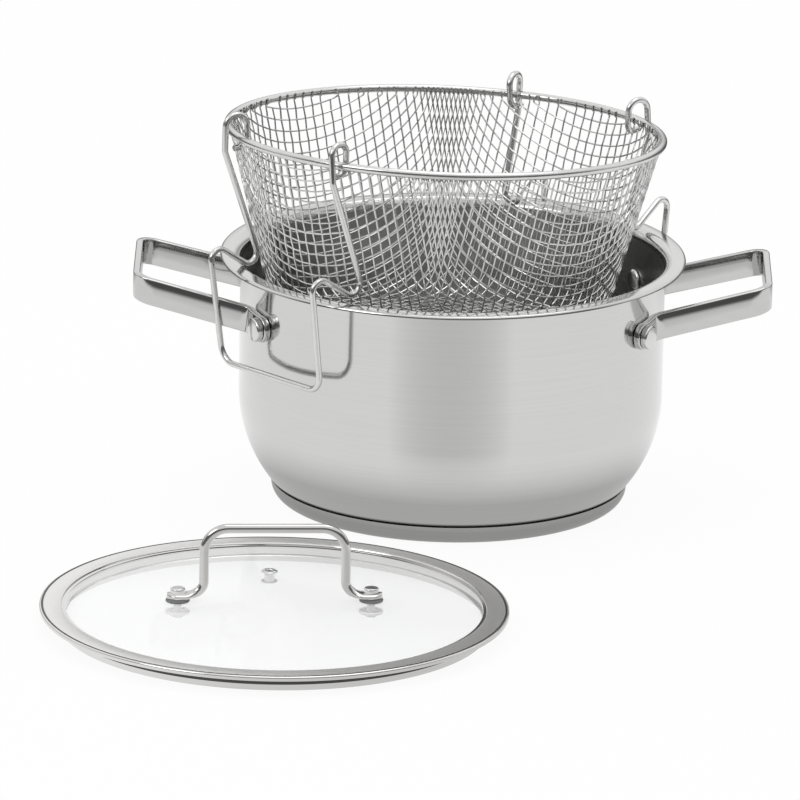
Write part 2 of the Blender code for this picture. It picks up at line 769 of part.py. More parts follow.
def make_lid_handle(frame):
    low = lug_height()
    tip = LID_SCREW_HALF_SPAN + LID_LUG_HALF_WIDTH
    foot = low - LID_LUG_THICKNESS / 2 + ROD_RADIUS
    corners = [
        ((-tip, 0, foot), 0), ((-LID_POST_HALF_SPAN, 0, foot), LID_ROD_BEND),
        ((-LID_POST_HALF_SPAN, 0, LID_HANDLE_HEIGHT), LID_TOP_BEND),
        ((LID_POST_HALF_SPAN, 0, LID_HANDLE_HEIGHT), LID_TOP_BEND),
        ((LID_POST_HALF_SPAN, 0, foot), LID_ROD_BEND), ((tip, 0, foot), 0),
    ]
    rod = rounded_path(corners)
    round_end = [tip - LID_LUG_HALF_WIDTH * (1 - math.cos(math.pi / 2 * step / 4))
                 for step in range(4)]
    lug_back = tip - LID_LUG_LENGTH
    left_lug = [Vector((-x, 0, low)) for x in round_end + [tip - LID_LUG_HALF_WIDTH, lug_back]]
    right_lug = [Vector((x, 0, low)) for x in [lug_back, tip - LID_LUG_HALF_WIDTH]
                 + list(reversed(round_end))]
    path = left_lug + rod[1:-1] + right_lug
    rings = []
    for index, spot in enumerate(path):
        heading = path[min(index + 1, len(path) - 1)] - path[max(index - 1, 0)]
        inset = max(LID_LUG_HALF_WIDTH - (tip - abs(spot.x)), 0)
        flat = index < len(left_lug) or index >= len(path) - len(right_lug)
        if flat:
            narrowest = LID_LUG_HALF_WIDTH * LUG_TIP_SHARE
            width = math.sqrt(max(LID_LUG_HALF_WIDTH ** 2 - inset ** 2, narrowest ** 2))
            rings.append(rod_ring(spot, heading, width, LID_LUG_THICKNESS / 2))
        else:
            rings.append(rod_ring(spot, heading, ROD_RADIUS, ROD_RADIUS))
    return lofted("lid_handle", rings, "polished_steel", frame)


def ring_outline(bore, radius, low, high):
    return [(bore, low), (radius, low), (radius, high), (bore, high)]


def at(frame, spot):
    return frame.matrix_world @ Matrix.Translation(spot)


def make_lid_fixings(frame, glass, handle):
    for side, x in (("left", -LID_SCREW_HALF_SPAN), ("right", LID_SCREW_HALF_SPAN)):
        top = glass_top(LID_SCREW_HALF_SPAN)
        bottom = top - GLASS_THICKNESS
        bore = SCREW_SHANK_RADIUS + TOUCH_GAP
        slope_gap = TOUCH_GAP + GROMMET_RADIUS * GLASS_RISE / glass_radius()
        grommet = turned("lid_grommet_" + side,
                         ring_outline(bore, GROMMET_RADIUS, top + slope_gap,
                                      top + TOUCH_GAP + GROMMET_THICKNESS),
                         "grey_silicone", frame, SMALL_STEPS)
        grommet.location.x = x
        washer_low = bottom - slope_gap - GROMMET_THICKNESS
        washer = turned("lid_washer_" + side,
                        ring_outline(bore, GROMMET_RADIUS, washer_low, bottom - slope_gap),
                        "rivet_steel", frame, SMALL_STEPS)
        washer.location.x = x
        seat = lug_height() + LID_LUG_THICKNESS / 2 + TOUCH_GAP
        tail = washer_low - TOUCH_GAP
        outline = [
            (0, tail - SCREW_TAIL_HEIGHT), (SCREW_TAIL_RADIUS, tail - SCREW_TAIL_HEIGHT / 2),
            (SCREW_TAIL_RADIUS, tail), (SCREW_SHANK_RADIUS, tail), (SCREW_SHANK_RADIUS, seat),
            (SCREW_HEAD_RADIUS, seat),
            (SCREW_HEAD_RADIUS, seat + SCREW_HEAD_HEIGHT * SCREW_EDGE_SHARE),
            (SCREW_HEAD_RADIUS * SCREW_CROWN_SHARE, seat + SCREW_HEAD_HEIGHT),
            (0, seat + SCREW_HEAD_HEIGHT),
        ]
        screw = turned("lid_screw_" + side, outline, "rivet_steel", frame, SMALL_STEPS)
        screw.location.x = x
        reach = 2 * (GLASS_THICKNESS + GROMMET_THICKNESS + CUT_OVERRUN)
        tool = cutter("screw_hole_" + side, bore, reach, at(frame, (x, 0, top)))
        cut(glass, tool)
        cut(handle, tool)


def make_vent(frame, glass):
    top = glass_top(VENT_DISTANCE)
    bottom = top - GLASS_THICKNESS
    gap = TOUCH_GAP + VENT_FLANGE_RADIUS * GLASS_RISE / glass_radius()
    edge = VENT_FLANGE_HEIGHT / 2
    outline = [
        (VENT_BORE_RADIUS, bottom - gap - VENT_FLANGE_HEIGHT),
        (VENT_FLANGE_RADIUS, bottom - gap - edge), (VENT_FLANGE_RADIUS, bottom - gap),
        (VENT_TUBE_RADIUS, bottom - gap), (VENT_TUBE_RADIUS, top + gap),
        (VENT_FLANGE_RADIUS, top + gap), (VENT_FLANGE_RADIUS, top + gap + edge),
        (VENT_BORE_RADIUS, top + gap + VENT_FLANGE_HEIGHT),
    ]
    eyelet = turned("vent_eyelet", outline, "rivet_steel", frame, SMALL_STEPS)
    eyelet.location.y = VENT_DISTANCE
    reach = 2 * (GLASS_THICKNESS + CUT_OVERRUN)
    tool = cutter("vent_hole", VENT_TUBE_RADIUS + TOUCH_GAP, reach,
                  at(frame, (0, VENT_DISTANCE, top)))
    cut(glass, tool)


def make_lid():
    spot = Matrix.Translation((LID_X, LID_Y, 0)) @ Matrix.Rotation(LID_TURN, 4, "Z")
    frame = empty("lid_place", spot)
    glass = make_glass(frame)
    make_hoop(frame)
    handle = make_lid_handle(frame)
    bpy.context.view_layer.update()
    make_lid_fixings(frame, glass, handle)
    make_vent(frame, glass)


def main():
    clear_scene()
    bowl = make_bowl()
    make_base()
    handles = make_handles()
    make_rivets(bowl, handles)
    make_basket()
    make_bail("bail_front", BAIL_FRONT_TURN)
    make_bail("bail_rear", BAIL_REAR_TURN)
    make_lid()
    bpy.context.view_layer.update()


main()
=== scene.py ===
"""Looks of a deep fryer pot: a steel pot with strap handles, a wire basket hung over its rim and
a glass lid lying beside it. Every piece is built around the CAD frame and rides on its bodies.
"""
import math

import bpy
from bpy.props import FloatProperty, FloatVectorProperty, IntProperty, PointerProperty
from mathutils import Matrix, Vector


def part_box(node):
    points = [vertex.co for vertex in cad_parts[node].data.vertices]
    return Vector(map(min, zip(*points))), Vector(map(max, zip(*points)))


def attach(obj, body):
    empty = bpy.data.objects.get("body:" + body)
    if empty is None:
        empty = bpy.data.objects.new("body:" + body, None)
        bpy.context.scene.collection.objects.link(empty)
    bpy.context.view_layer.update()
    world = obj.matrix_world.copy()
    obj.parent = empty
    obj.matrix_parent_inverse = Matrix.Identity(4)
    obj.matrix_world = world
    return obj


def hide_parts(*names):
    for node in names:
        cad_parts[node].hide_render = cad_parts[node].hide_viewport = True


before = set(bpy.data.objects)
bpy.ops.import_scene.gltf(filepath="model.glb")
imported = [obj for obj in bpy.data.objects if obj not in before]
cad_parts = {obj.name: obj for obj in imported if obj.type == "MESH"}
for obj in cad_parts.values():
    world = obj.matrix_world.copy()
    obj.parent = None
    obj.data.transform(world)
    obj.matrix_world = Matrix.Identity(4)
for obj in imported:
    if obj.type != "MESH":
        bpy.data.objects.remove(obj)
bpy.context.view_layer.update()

bl_info = {
    "name": "Deep fryer pot",
    "version": (1, 0, 0),
    "blender": (4, 5, 0),
    "location": "View3D > Sidebar > Fryer Pot",
    "description": "Builds a steel frying pot with its wire basket and its glass lid",
    "category": "Mesh",
}

POT_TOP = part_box("pot_body")[1].z
LID_MIDDLE = (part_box("lid_hoop")[0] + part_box("lid_hoop")[1]) / 2

# How the pieces are made, in metres: points nearer than WELD are one, fastened pieces keep
# TOUCH_GAP as in the CAD, and a station is the distance between two cuts in a bar to be bent.
WELD = 0.000001
POINT_SIZE = 0.001
TOUCH_GAP = 0.0003
STRAP_STATION = 0.0016
LUG_STATION = 0.0008
BORE_DEPTH = 0.06
SMALL_STEPS = 40
WIRE_SMOOTH = 60

# Shapes too small to be settings: shares of the size that they belong to, or metres.
LUG_ROUNDING = 0.47
LUG_SLACK = 1 / 8
RIVET_DOME = 0.4
RIVET_BRIM = 0.15
SCREW_EDGE = 0.0009
SCREW_CROWN = 0.0002
CROWN_SHARE = 0.5
TAIL_TIP = 0.8
TAIL_SIDE = 0.6
RING_EDGE = 0.0003
EYELET_TOP = 0.8
EYELET_MOUTH = 1.3
GROOVE_DEPTH = 0.6

# The net: the wire radius of the CAD's coarser net, which says where the hem lies, how much
# larger than the cup the sheet is laid out, and when a search for a knot ends.
SOLID_NET_WIRE = 0.0011
SHEET_MARGIN = 1.3
SEARCH_ROUNDS = 30
LEAST_SLOPE = 0.01
CLIMB_STEPS = 5

# Finishes: depths of their marks in metres, sizes of their noise and the glass's cover.
BRUSH_DEPTH = 0.00002
DRAW_DEPTH = 0.00003
GRAIN_DEPTH = 0.00005
RING_DEPTH = 0.0001
RINGS_PER_METRE = 2600.0
LINE_SHARE = 0.6
NOISE_LOW, NOISE_HIGH = 0.3, 0.7
GLASS_FACE_ALPHA = 0.05
# The glass's cover at a slant is a painted reflection.
GLASS_SLANT_SHEEN = 0.55

# The painted shade on the floor that only the steel sees: the pot's radius, and where the part
# in front of the pot begins and how far it takes to be full.
GLOOM_POT_RADIUS = 0.12
FRONT_START = -0.13
FRONT_RUN = 0.125

# The room that only the steel sees: sines of the heights up to which it is dark, and from
# which it is light, behind the camera and behind the pot.
CAMERA_SIDE_DARK, CAMERA_SIDE_LIGHT = 0.42, 0.66
POT_SIDE_DARK, POT_SIDE_LIGHT = 0.10, 0.24
SIDE_CHANGE = 1.6

# Each lamp's name, place, width in metres and power in watts.
LAMPS = (("Side lamp", (-1.6, -1.2, 1.6), 1.2, 9.0), ("Top lamp", (0.3, 0.2, 2.2), 1.6, 8.0))
LAMP_AIM = (0, -0.05, 0.1)
SENSOR_WIDTH = 36
VIEW_START, VIEW_END = 0.1, 1000
WHITE = (1.0, 1.0, 1.0, 1.0)


def length(name, description, default):
    return FloatProperty(name=name, description=description, default=default, unit="LENGTH",
                         precision=5)


def angle(name, description, degrees):
    return FloatProperty(name=name, description=description, default=math.radians(degrees),
                         subtype="ANGLE")


def count(name, description, default):
    return IntProperty(name=name, description=description, default=default, min=3)


def colour(name, description, default):
    return FloatVectorProperty(name=name, description=description, default=default, size=3,
                               subtype="COLOR", min=0, max=1)


def share(name, description, default):
    return FloatProperty(name=name, description=description, default=default, subtype="FACTOR",
                         min=0, max=1)


class PotSizes(bpy.types.PropertyGroup):
    """Sizes of the bowl and its base."""

    wall_radius: length("Wall radius", "Outside of the straight wall", 0.1195)
    height: length("Height", "From the table to the top of the rim", POT_TOP)
    sheet: length("Sheet", "Thickness of the drawn sheet", 0.0008)
    belly_radius: length("Belly radius", "Big bend between the wall and the floor", 0.080)
    belly_turn: angle("Belly turn", "How far the big bend turns in", 40)
    flare_radius: length("Flare", "Bend from the wall out into the flange", 0.006)
    flange_width: length("Flange", "Width of the flange beyond the flare", 0.0063)
    lip_radius: length("Lip", "Roll at the flange's outer edge", 0.0018)
    lip_droop: length("Lip droop", "How far the lip lies below the flare's top", 0.0004)
    base_height: length("Base height", "Height of the encapsulated base", 0.0109)
    base_radius: length("Base radius", "Outside of the base cap", 0.1004)
    base_bend: length("Base bend", "Bend between the base's side and underside", 0.0085)
    base_sheet: length("Base sheet", "Thickness of the base cap", 0.0010)
    round_steps: count("Round steps", "Facets round the pot and the lid", 180)
    bend_steps: count("Bend steps", "Facets along a bend", 10)


class HandleSizes(bpy.types.PropertyGroup):
    """Sizes of the strap handles and their rivets."""

    height: length("Strap height", "Width of the strap, which stands on its edge", 0.015)
    thickness: length("Strap thickness", "Thickness of the strap", 0.004)
    edge: length("Edge", "Rounding of the strap's edges", 0.0009)
    reach: length("Reach", "From the pot's axis to the outer face of the bar", 0.179)
    rise: share("Rise", "Climb of the loop for each metre outwards", 0.255)
    taper: angle("Taper", "How far the arms lean together", 3)
    lug_bend: length("Lug bend", "Bend from the lug into the arm", 0.007)
    lug_length: length("Lug length", "Part of the strap that lies on the wall", 0.0222)
    corner_bend: length("Corner bend", "Bend from an arm into the bar", 0.010)
    rivet_angle: angle("Rivet angle", "Angle of each rivet from the handle's middle", 29)
    rivet_height: length("Rivet height", "Height of the rivets above the table", 0.112)
    head_radius: length("Rivet head", "Radius of the outer rivet head", 0.0068)
    head_height: length("Rivet head height", "Height of the outer rivet head", 0.0036)
    shank_radius: length("Rivet shank", "Radius of the rivet's shank", 0.0030)
    inner_radius: length("Inner head", "Radius of the inner rivet head", 0.0062)
    inner_height: length("Inner head height", "Height of the inner rivet head", 0.0022)


class BasketSizes(bpy.types.PropertyGroup):
    """Sizes of the basket's net and rim."""

    rim_radius: length("Rim radius", "Centre line of the rim wire", 0.122)
    rim_height: length("Rim height", "Height of the rim's middle above the table", 0.2122)
    rim_wire: length("Rim wire", "Radius of the rim wire", 0.0023)
    depth: length("Depth", "From the rim to the net's floor", 0.113)
    taper: angle("Taper", "Lean of the net's wall", 15)
    corner: length("Corner", "Bend between the net's wall and floor", 0.018)
    offset_x: FloatProperty(name="Offset", description="Where the basket hangs along X",
                            default=-0.0055, unit="LENGTH", precision=5)
    tilt_x: FloatProperty(name="Tilt X", description="Slope of the rim along X", default=-0.024)
    tilt_y: FloatProperty(name="Tilt Y", description="Slope of the rim along Y", default=-0.060)
    pitch: length("Pitch", "Distance between the net's wires", 0.0193 / 3)
    wire: length("Net wire", "Radius of the net's wires", 0.00048)
    weave: share("Weave", "How far a wire swings over and under, as a share of its radius", 0.55)
    turn: angle("Net turn", "Angle of the net's wires at its middle", 44)
    hem_angle: angle("Hem angle", "Where the net meets the rim wire, below level", 60)
    grip_angle: angle("Grip angle", "How far the net's wires climb the rim wire", 35)


class BailSizes(bpy.types.PropertyGroup):
    """Sizes of the two wire bails that hook over the pot's rim."""

    wire: length("Bail wire", "Radius of the bail wire", 0.00175)
    front_turn: angle("Front turn", "Where the front bail stands", 219)
    rear_turn: angle("Rear turn", "Where the rear bail stands", 49)
    half_width: length("Half width", "Half the distance between the two eyes", 0.046)
    eye_reach: length("Eye reach", "Half the width of an eye", 0.0063)
    eye_top: length("Eye top", "Height of an eye above the rim wire", 0.0118)
    eye_stub: length("Eye stub", "Length of the wire's end under the rim", 0.0035)
    eye_lean: length("Eye lean", "Sideways climb of the eye's coil", 0.0024)
    eye_bend: length("Eye bend", "Bend under the rim", 0.0050)
    eye_top_bend: length("Eye top bend", "Bend over the rim", 0.0061)
    leg_start: length("Leg start", "Where the leg starts below the rim", 0.0090)
    hook_depth: length("Hook depth", "How far the hook dips below the pot's rim", 0.0067)
    hook_inset: length("Hook inset", "How far the hook reaches into the pot", 0.0185)
    hook_rise: length("Hook rise", "Height of the hump outside the rim", 0.0190)
    hook_outset: length("Hook outset", "How far the hump reaches outwards", 0.0146)
    hook_bend: length("Hook bend", "Bend of the hook and the hump", 0.006)
    bar_drop: length("Bar drop", "Height of the rim above the bottom bar", 0.0510)
    bar_half_width: length("Bar half width", "Half the length of the bottom bar", 0.0440)
    bar_gap: length("Bar gap", "From the wall to the bottom bar", 0.0080)
    bar_bend: length("Bar bend", "Bend at the ends of the bottom bar", 0.010)
    bend_steps: count("Bend steps", "Facets along a bend of the wire", 10)


class LidSizes(bpy.types.PropertyGroup):
    """Sizes of the glass lid, its hoop and its handle."""

    x: FloatProperty(name="X", description="Where the lid lies", default=LID_MIDDLE.x,
                     unit="LENGTH", precision=5)
    y: FloatProperty(name="Y", description="Where the lid lies", default=LID_MIDDLE.y,
                     unit="LENGTH", precision=5)
    turn: angle("Turn", "How the lid's handle is turned", 3.8)
    fit: length("Fit", "Play between the skirt and the pot's wall", 0.0012)
    skirt_height: length("Skirt height", "From the skirt's edge to the flange", 0.0099)
    flange_radius: length("Flange radius", "Outside of the hoop's flange", 0.128)
    steel: length("Hoop steel", "Thickness of the hoop's sheet", 0.0010)
    glass: length("Glass", "Thickness of the glass", 0.0040)
    glass_inset: length("Glass inset", "How far the glass lies below the flange", 0.0052)
    glass_rise: length("Glass rise", "Height of the glass's dome", 0.0052)
    grip: length("Grip", "How far the hoop reaches over the glass", 0.0030)
    ledge: length("Ledge", "Width of the hoop's lip inside its step", 0.0020)
    bead: length("Bead", "Height of the hoop's turned-down edge", 0.0026)
    roll: length("Roll", "Rounding of the flange's outer edge", 0.0010)
    groove_width: length("Groove width", "Width of the groove inside the flange's roll", 0.0013)
    # To this depth the skirt's top under the flange is painted dark as shade.
    painted_shade_depth: length("Corner depth", "Height of the dull corner under the flange", 0.0066)
    vent_distance: length("Vent distance", "From the lid's middle to the vent", 0.054)
    vent_radius: length("Vent radius", "Flange of the vent's eyelet", 0.0045)
    vent_tube: length("Vent tube", "Outside of the eyelet's tube", 0.0026)
    vent_bore: length("Vent bore", "Bore of the eyelet", 0.0014)
    vent_height: length("Vent height", "Height of the eyelet's flange", 0.0010)
    rod_radius: length("Rod radius", "Radius of the handle's rod", 0.0026)
    post_half_span: length("Post half span", "Half the distance between the posts", 0.0386)
    handle_height: length("Handle height", "Height of the rod's bar", 0.0545)
    rod_bend: length("Rod bend", "Bend at the foot of a post", 0.007)
    top_bend: length("Top bend", "Bend at the top of a post", 0.013)
    lug_half_width: length("Lug half width", "Half the width of a flattened end", 0.0058)
    lug_thickness: length("Lug thickness", "Thickness of a flattened end", 0.0034)
    lug_length: length("Lug length", "Length of a flattened end", 0.0135)
    screw_half_span: length("Screw half span", "Half the distance of the screws", 0.0527)
    head_radius: length("Screw head", "Radius of a screw's head", 0.0041)
    head_height: length("Screw head height", "Height of a screw's head", 0.0023)
    shank_radius: length("Screw shank", "Radius of a screw", 0.0020)
    tail_radius: length("Screw tail", "Radius of a screw's lower end", 0.0036)
    tail_height: length("Screw tail height", "Height of a screw's lower end", 0.0016)
    grommet_radius: length("Grommet radius", "Radius of the grommets", 0.0066)
    grommet_thickness: length("Grommet thickness", "Thickness of the grommets", 0.0016)


class FinishLooks(bpy.types.PropertyGroup):
    """Colours of the finishes."""

    wall_steel: colour("Wall steel", "Polished steel of the pot's outside", (0.615, 0.615, 0.61))
    inner_steel: colour("Inner steel", "Satin steel inside the pot", (0.52, 0.52, 0.515))
    base_steel: colour("Base steel", "Turned steel of the base cap", (0.45, 0.45, 0.445))
    handle_steel: colour("Handle steel", "Steel of the strap handles", (0.56, 0.56, 0.555))
    wire_steel: colour("Wire steel", "Bright drawn wire", (0.68, 0.68, 0.675))
    lid_steel: colour("Lid steel", "Polished steel of the lid", (0.58, 0.575, 0.565))
    hoop_steel: colour("Hoop steel", "Bright steel of the lid's hoop", (0.70, 0.695, 0.685))
    silicone: colour("Silicone", "Grey silicone of the grommets", (0.20, 0.20, 0.20))
    glass: colour("Glass", "Clear tempered glass", (0.97, 0.985, 0.98))
    core: colour("Core", "Aluminium of the base's core", (0.78, 0.79, 0.80))


class StudioLooks(bpy.types.PropertyGroup):
    """The stage, its light and the camera."""

    floor_size: length("Floor size", "Side of the floor", 400.0)
    floor_colour: colour("Floor colour", "Colour of the floor", (0.97, 0.97, 0.97))
    # The dusk, far, near and front settings paint shade on the floor that only steel and glass
    # see: its far parts, the pot's shadow round its foot and a patch in front of the pot.
    painted_shade_colour: colour("Dusk colour", "Colour of the floor far behind", (0.10, 0.10, 0.10))
    dusk_start: length("Dusk start", "Where the floor behind begins to darken", 0.30)
    dusk_run: length("Dusk run", "How far the floor takes to darken", 0.40)
    far_start: FloatProperty(name="Far start", description="Where the floor in front darkens",
                             default=-0.62, unit="LENGTH", precision=5)
    room_light: colour("Room light", "Colour of the dome overhead", (1.0, 1.0, 1.0))
    room_dark: colour("Room dark", "Colour of the room behind the camera", (0.16, 0.16, 0.16))
    room_dusk: colour("Room dusk", "Colour of the room behind the pot", (0.40, 0.40, 0.40))
    near_reach: length("Near reach", "How far the pot's gloom reaches on the floor", 0.22)
    near_painted_shadow: share("Near dusk", "How much the steel misses of the floor by the pot", 0.46)
    front_painted_shade: share("Front dusk", "How much the steel misses of the floor in front", 0.28)
    front_width: angle("Front width", "Half width of the gloom in front, round the pot", 19)
    floor_glow: share("Floor glow", "How much of the floor is plain white", 0.94)
    sky: FloatProperty(name="Sky", description="Strength of the soft light", default=0.85, min=0)
    lens: FloatProperty(name="Lens", description="Focal length in millimetres", default=498.34)
    distance: length("Distance", "Camera's distance along Y", 6.0)
    camera_x: FloatProperty(name="Camera X", description="Camera's place along X",
                            default=-0.0283, unit="LENGTH", precision=5)
    camera_height: length("Camera height", "Camera's height", 1.81477)
    pitch: FloatProperty(name="Pitch", description="How far the camera looks down",
                         default=0.2853, subtype="ANGLE")
    roll: FloatProperty(name="Roll", description="How far the camera is rolled",
                        default=0.019, subtype="ANGLE")


class FryerPot(bpy.types.PropertyGroup):
    """All settings of the fryer pot."""

    pot: PointerProperty(type=PotSizes)
    handle: PointerProperty(type=HandleSizes)
    basket: PointerProperty(type=BasketSizes)
    bail: PointerProperty(type=BailSizes)
    lid: PointerProperty(type=LidSizes)
    looks: PointerProperty(type=FinishLooks)
    studio: PointerProperty(type=StudioLooks)


def settings():
    return bpy.context.scene.fryer_pot


class Sum:
    """A socket of a finish. Sums on it add the Math nodes they need."""

    def __init__(self, finish, socket):
        self.finish = finish
        self.socket = socket

    def reckon(self, operation, *values):
        return self.finish.node("ShaderNodeMath", {"operation": operation},
                                dict(enumerate(values)))

    def __add__(self, other):
        return self.reckon("ADD", self, other)

    def __radd__(self, other):
        return self.reckon("ADD", other, self)

    def __sub__(self, other):
        return self.reckon("SUBTRACT", self, other)

    def __rsub__(self, other):
        return self.reckon("SUBTRACT", other, self)

    def __mul__(self, other):
        return self.reckon("MULTIPLY", self, other)

    def __rmul__(self, other):
        return self.reckon("MULTIPLY", other, self)

    def __truediv__(self, other):
        return self.reckon("DIVIDE", self, other)

    def __pow__(self, other):
        return self.reckon("POWER", self, other)


class Finish:
    """A node tree of a material or of the world."""

    def __init__(self, owner):
        owner.use_nodes = True
        self.owner = owner
        self.tree = owner.node_tree

    def node(self, kind, changes=None, inputs=None, output=0):
        added = self.tree.nodes.new(kind)
        for key, value in (changes or {}).items():
            if key == "stops":
                set_stops(added.color_ramp, value)
            else:
                setattr(added, key, value)
        for key, value in (inputs or {}).items():
            self.feed(added.inputs[key], value)
        return Sum(self, added.outputs[output])

    def feed(self, socket, value):
        if isinstance(value, Sum):
            self.tree.links.new(value.socket, socket)
        else:
            socket.default_value = value

    def surface(self, values):
        shader = self.tree.nodes["Principled BSDF"]
        for name, value in values.items():
            self.feed(shader.inputs[name], value)

    def place(self):
        """X, Y and Z of a point of the object."""
        spot = self.node("ShaderNodeTexCoord", output="Object")
        split = self.node("ShaderNodeSeparateXYZ", inputs={0: spot})
        outputs = split.socket.node.outputs
        return [Sum(self, outputs[index]) for index in range(3)]

    def noise(self, x, y, z, scale=1.0, detail=2.0):
        spot = self.node("ShaderNodeCombineXYZ", inputs={0: x, 1: y, 2: z})
        return self.node("ShaderNodeTexNoise", inputs={"Vector": spot, "Scale": scale,
                                                       "Detail": detail})

    def clamped(self, value):
        return self.node("ShaderNodeMath", {"operation": "ADD", "use_clamp": True},
                         {0: value, 1: 0.0})

    def blend(self, factor, first, second):
        """A colour between two others; inputs 6 and 7 of the node are its colours."""
        return self.node("ShaderNodeMix", {"data_type": "RGBA"},
                         {0: factor, 6: first, 7: second}, output=2)

    def ramp(self, value, stops):
        return self.node("ShaderNodeValToRGB", {"stops": stops}, {0: value})

    def tones(self, noise, tint, dark, light):
        """A tint that a noise darkens and lightens."""
        return self.ramp(noise, [(NOISE_LOW, shaded(tint, dark)),
                                 (NOISE_HIGH, shaded(tint, light))])

    def bump(self, height, strength, distance):
        return self.node("ShaderNodeBump", inputs={"Height": height, "Strength": strength,
                                                   "Distance": distance})


def set_stops(ramp, stops):
    while len(ramp.elements) > len(stops):
        ramp.elements.remove(ramp.elements[-1])
    while len(ramp.elements) < len(stops):
        ramp.elements.new(1.0)
    for element, (place, tint) in zip(ramp.elements, stops):
        element.position = place
        element.color = (*tint, 1.0)


def shaded(tint, factor):
    return tuple(min(part * factor, 1.0) for part in tint)


def steel(name, tint, roughness, along=14.0, across=1500.0, streak=0.05, contrast=0.05,
          relief=0.12):
    """Steel with fine lines that run level round the piece, and faint larger clouds."""
    finish = Finish(bpy.data.materials.new(name))
    x, y, z = finish.place()
    lines = finish.noise(x * along, y * along, z * across)
    clouds = finish.noise(x, y, z, scale=22.0, detail=3.0)
    tone = lines * LINE_SHARE + clouds * (1 - LINE_SHARE)
    finish.surface({
        "Base Color": finish.tones(tone, tint, 1 - contrast, 1 + contrast),
        "Metallic": 1.0,
        "Roughness": roughness + streak * (tone - 0.5),
        "Normal": finish.bump(lines, relief, BRUSH_DEPTH),
    })
    return finish.owner


def lathed_steel(name, tint, roughness):
    """Steel with fine rings round the lid's middle, as turning leaves them."""
    lid = settings().lid
    finish = Finish(bpy.data.materials.new(name))
    x, y, z = finish.place()
    across, along = x - lid.x, y - lid.y
    rings = finish.noise((across * across + along * along) ** 0.5 * RINGS_PER_METRE, z, z)
    finish.surface({
        "Base Color": finish.tones(rings, tint, 0.96, 1.04),
        "Metallic": 1.0,
        "Roughness": roughness + 0.05 * (rings - 0.5),
        "Normal": finish.bump(rings, 0.6, RING_DEPTH),
    })
    return finish.owner


def drawn_wire(name, tint, roughness):
    """Bright wire with the faint marks of drawing and weaving."""
    finish = Finish(bpy.data.materials.new(name))
    x, y, z = finish.place()
    marks = finish.noise(x, y, z, scale=420.0, detail=2.0)
    clouds = finish.noise(x, y, z, scale=45.0, detail=2.0)
    finish.surface({
        "Base Color": finish.tones(marks * 0.5 + clouds * 0.5, tint, 0.90, 1.06),
        "Metallic": 1.0,
        "Roughness": roughness + 0.10 * (marks - 0.5),
        "Normal": finish.bump(marks, 0.15, DRAW_DEPTH),
    })
    return finish.owner


def clear_glass(name, tint):
    """Tempered glass that shows the white table through it, with a faint bloom, and a painted
    white sheen that thickens at a slant in place of its reflection.
    """
    finish = Finish(bpy.data.materials.new(name))
    x, y, z = finish.place()
    bloom = finish.noise(x, y, z, scale=16.0, detail=3.0)
    slant = finish.node("ShaderNodeLayerWeight", inputs={"Blend": 0.5}, output="Facing")
    finish.surface({
        "Base Color": (*tint, 1.0),
        "Roughness": 0.02 + 0.03 * bloom,
        "Metallic": 0.0,
        "IOR": 1.5,
        # The white cover thickens at a slant: a painted reflection.
        "Alpha": GLASS_FACE_ALPHA + GLASS_SLANT_SHEEN * slant ** 3,
        "Specular IOR Level": 0.2,
    })
    return finish.owner


def silicone(name, tint):
    """Matt silicone with a fine grain."""
    finish = Finish(bpy.data.materials.new(name))
    x, y, z = finish.place()
    grain = finish.noise(x, y, z, scale=900.0, detail=3.0)
    finish.surface({
        "Base Color": finish.tones(grain, tint, 0.85, 1.2),
        "Roughness": 0.45 + 0.2 * grain,
        "Normal": finish.bump(grain, 0.2, GRAIN_DEPTH),
    })
    return finish.owner


def finish_named(name):
    """The finish of a piece, made when it is first asked for."""
    known = bpy.data.materials.get(name)
    if known is not None:
        return known
    looks = settings().looks
    makers = {
        "Wall steel": lambda: steel(name, looks.wall_steel, 0.11, streak=0.03, contrast=0.025),
        "Inner steel": lambda: steel(name, looks.inner_steel, 0.30, contrast=0.08),
        "Base steel": lambda: steel(name, looks.base_steel, 0.30, streak=0.10),
        "Handle steel": lambda: steel(name, looks.handle_steel, 0.08, along=60, across=300,
                                      streak=0.02, contrast=0.03, relief=0.03),
        "Rivet steel": lambda: steel(name, looks.wire_steel, 0.20, along=200, across=200),
        "Wire steel": lambda: drawn_wire(name, looks.wire_steel, 0.20),
        "Lid steel": lambda: steel(name, looks.lid_steel, 0.10, along=20, relief=0.05),
        "Hoop steel": lambda: steel(name, looks.hoop_steel, 0.08, along=20, relief=0.04),
        # A darkened copy of the hoop's steel: painted shade for the groove and the corner under
        # the flange.
        "Corner steel": lambda: steel(name, shaded(looks.hoop_steel, 0.12), 0.40),
        "Flange steel": lambda: lathed_steel(name, shaded(looks.hoop_steel, 1.2), 0.34),
        "Washer steel": lambda: steel(name, shaded(looks.wire_steel, 1.3), 0.50),
        "Core aluminium": lambda: steel(name, looks.core, 0.40),
        "Grey silicone": lambda: silicone(name, looks.silicone),
        "Clear glass": lambda: clear_glass(name, looks.glass),
    }
    return makers[name]()


def to_object_mode():
    if bpy.context.mode != "OBJECT":
        bpy.ops.object.mode_set(mode="OBJECT")


def select_only(item):
    to_object_mode()
    bpy.ops.object.select_all(action="DESELECT")
    item.select_set(True)
    bpy.context.view_layer.objects.active = item


def start_piece(name, add, **how):
    """Add a primitive and open it in edit mode, with its place in its mesh."""
    to_object_mode()
    bpy.ops.object.select_all(action="DESELECT")
    add(**how)
    item = bpy.context.object
    item.name = name
    item.data.name = name
    bpy.ops.object.transform_apply(location=True, rotation=True, scale=True)
    bpy.ops.object.mode_set(mode="EDIT")
    bpy.ops.mesh.select_mode(type="VERT")
    return item


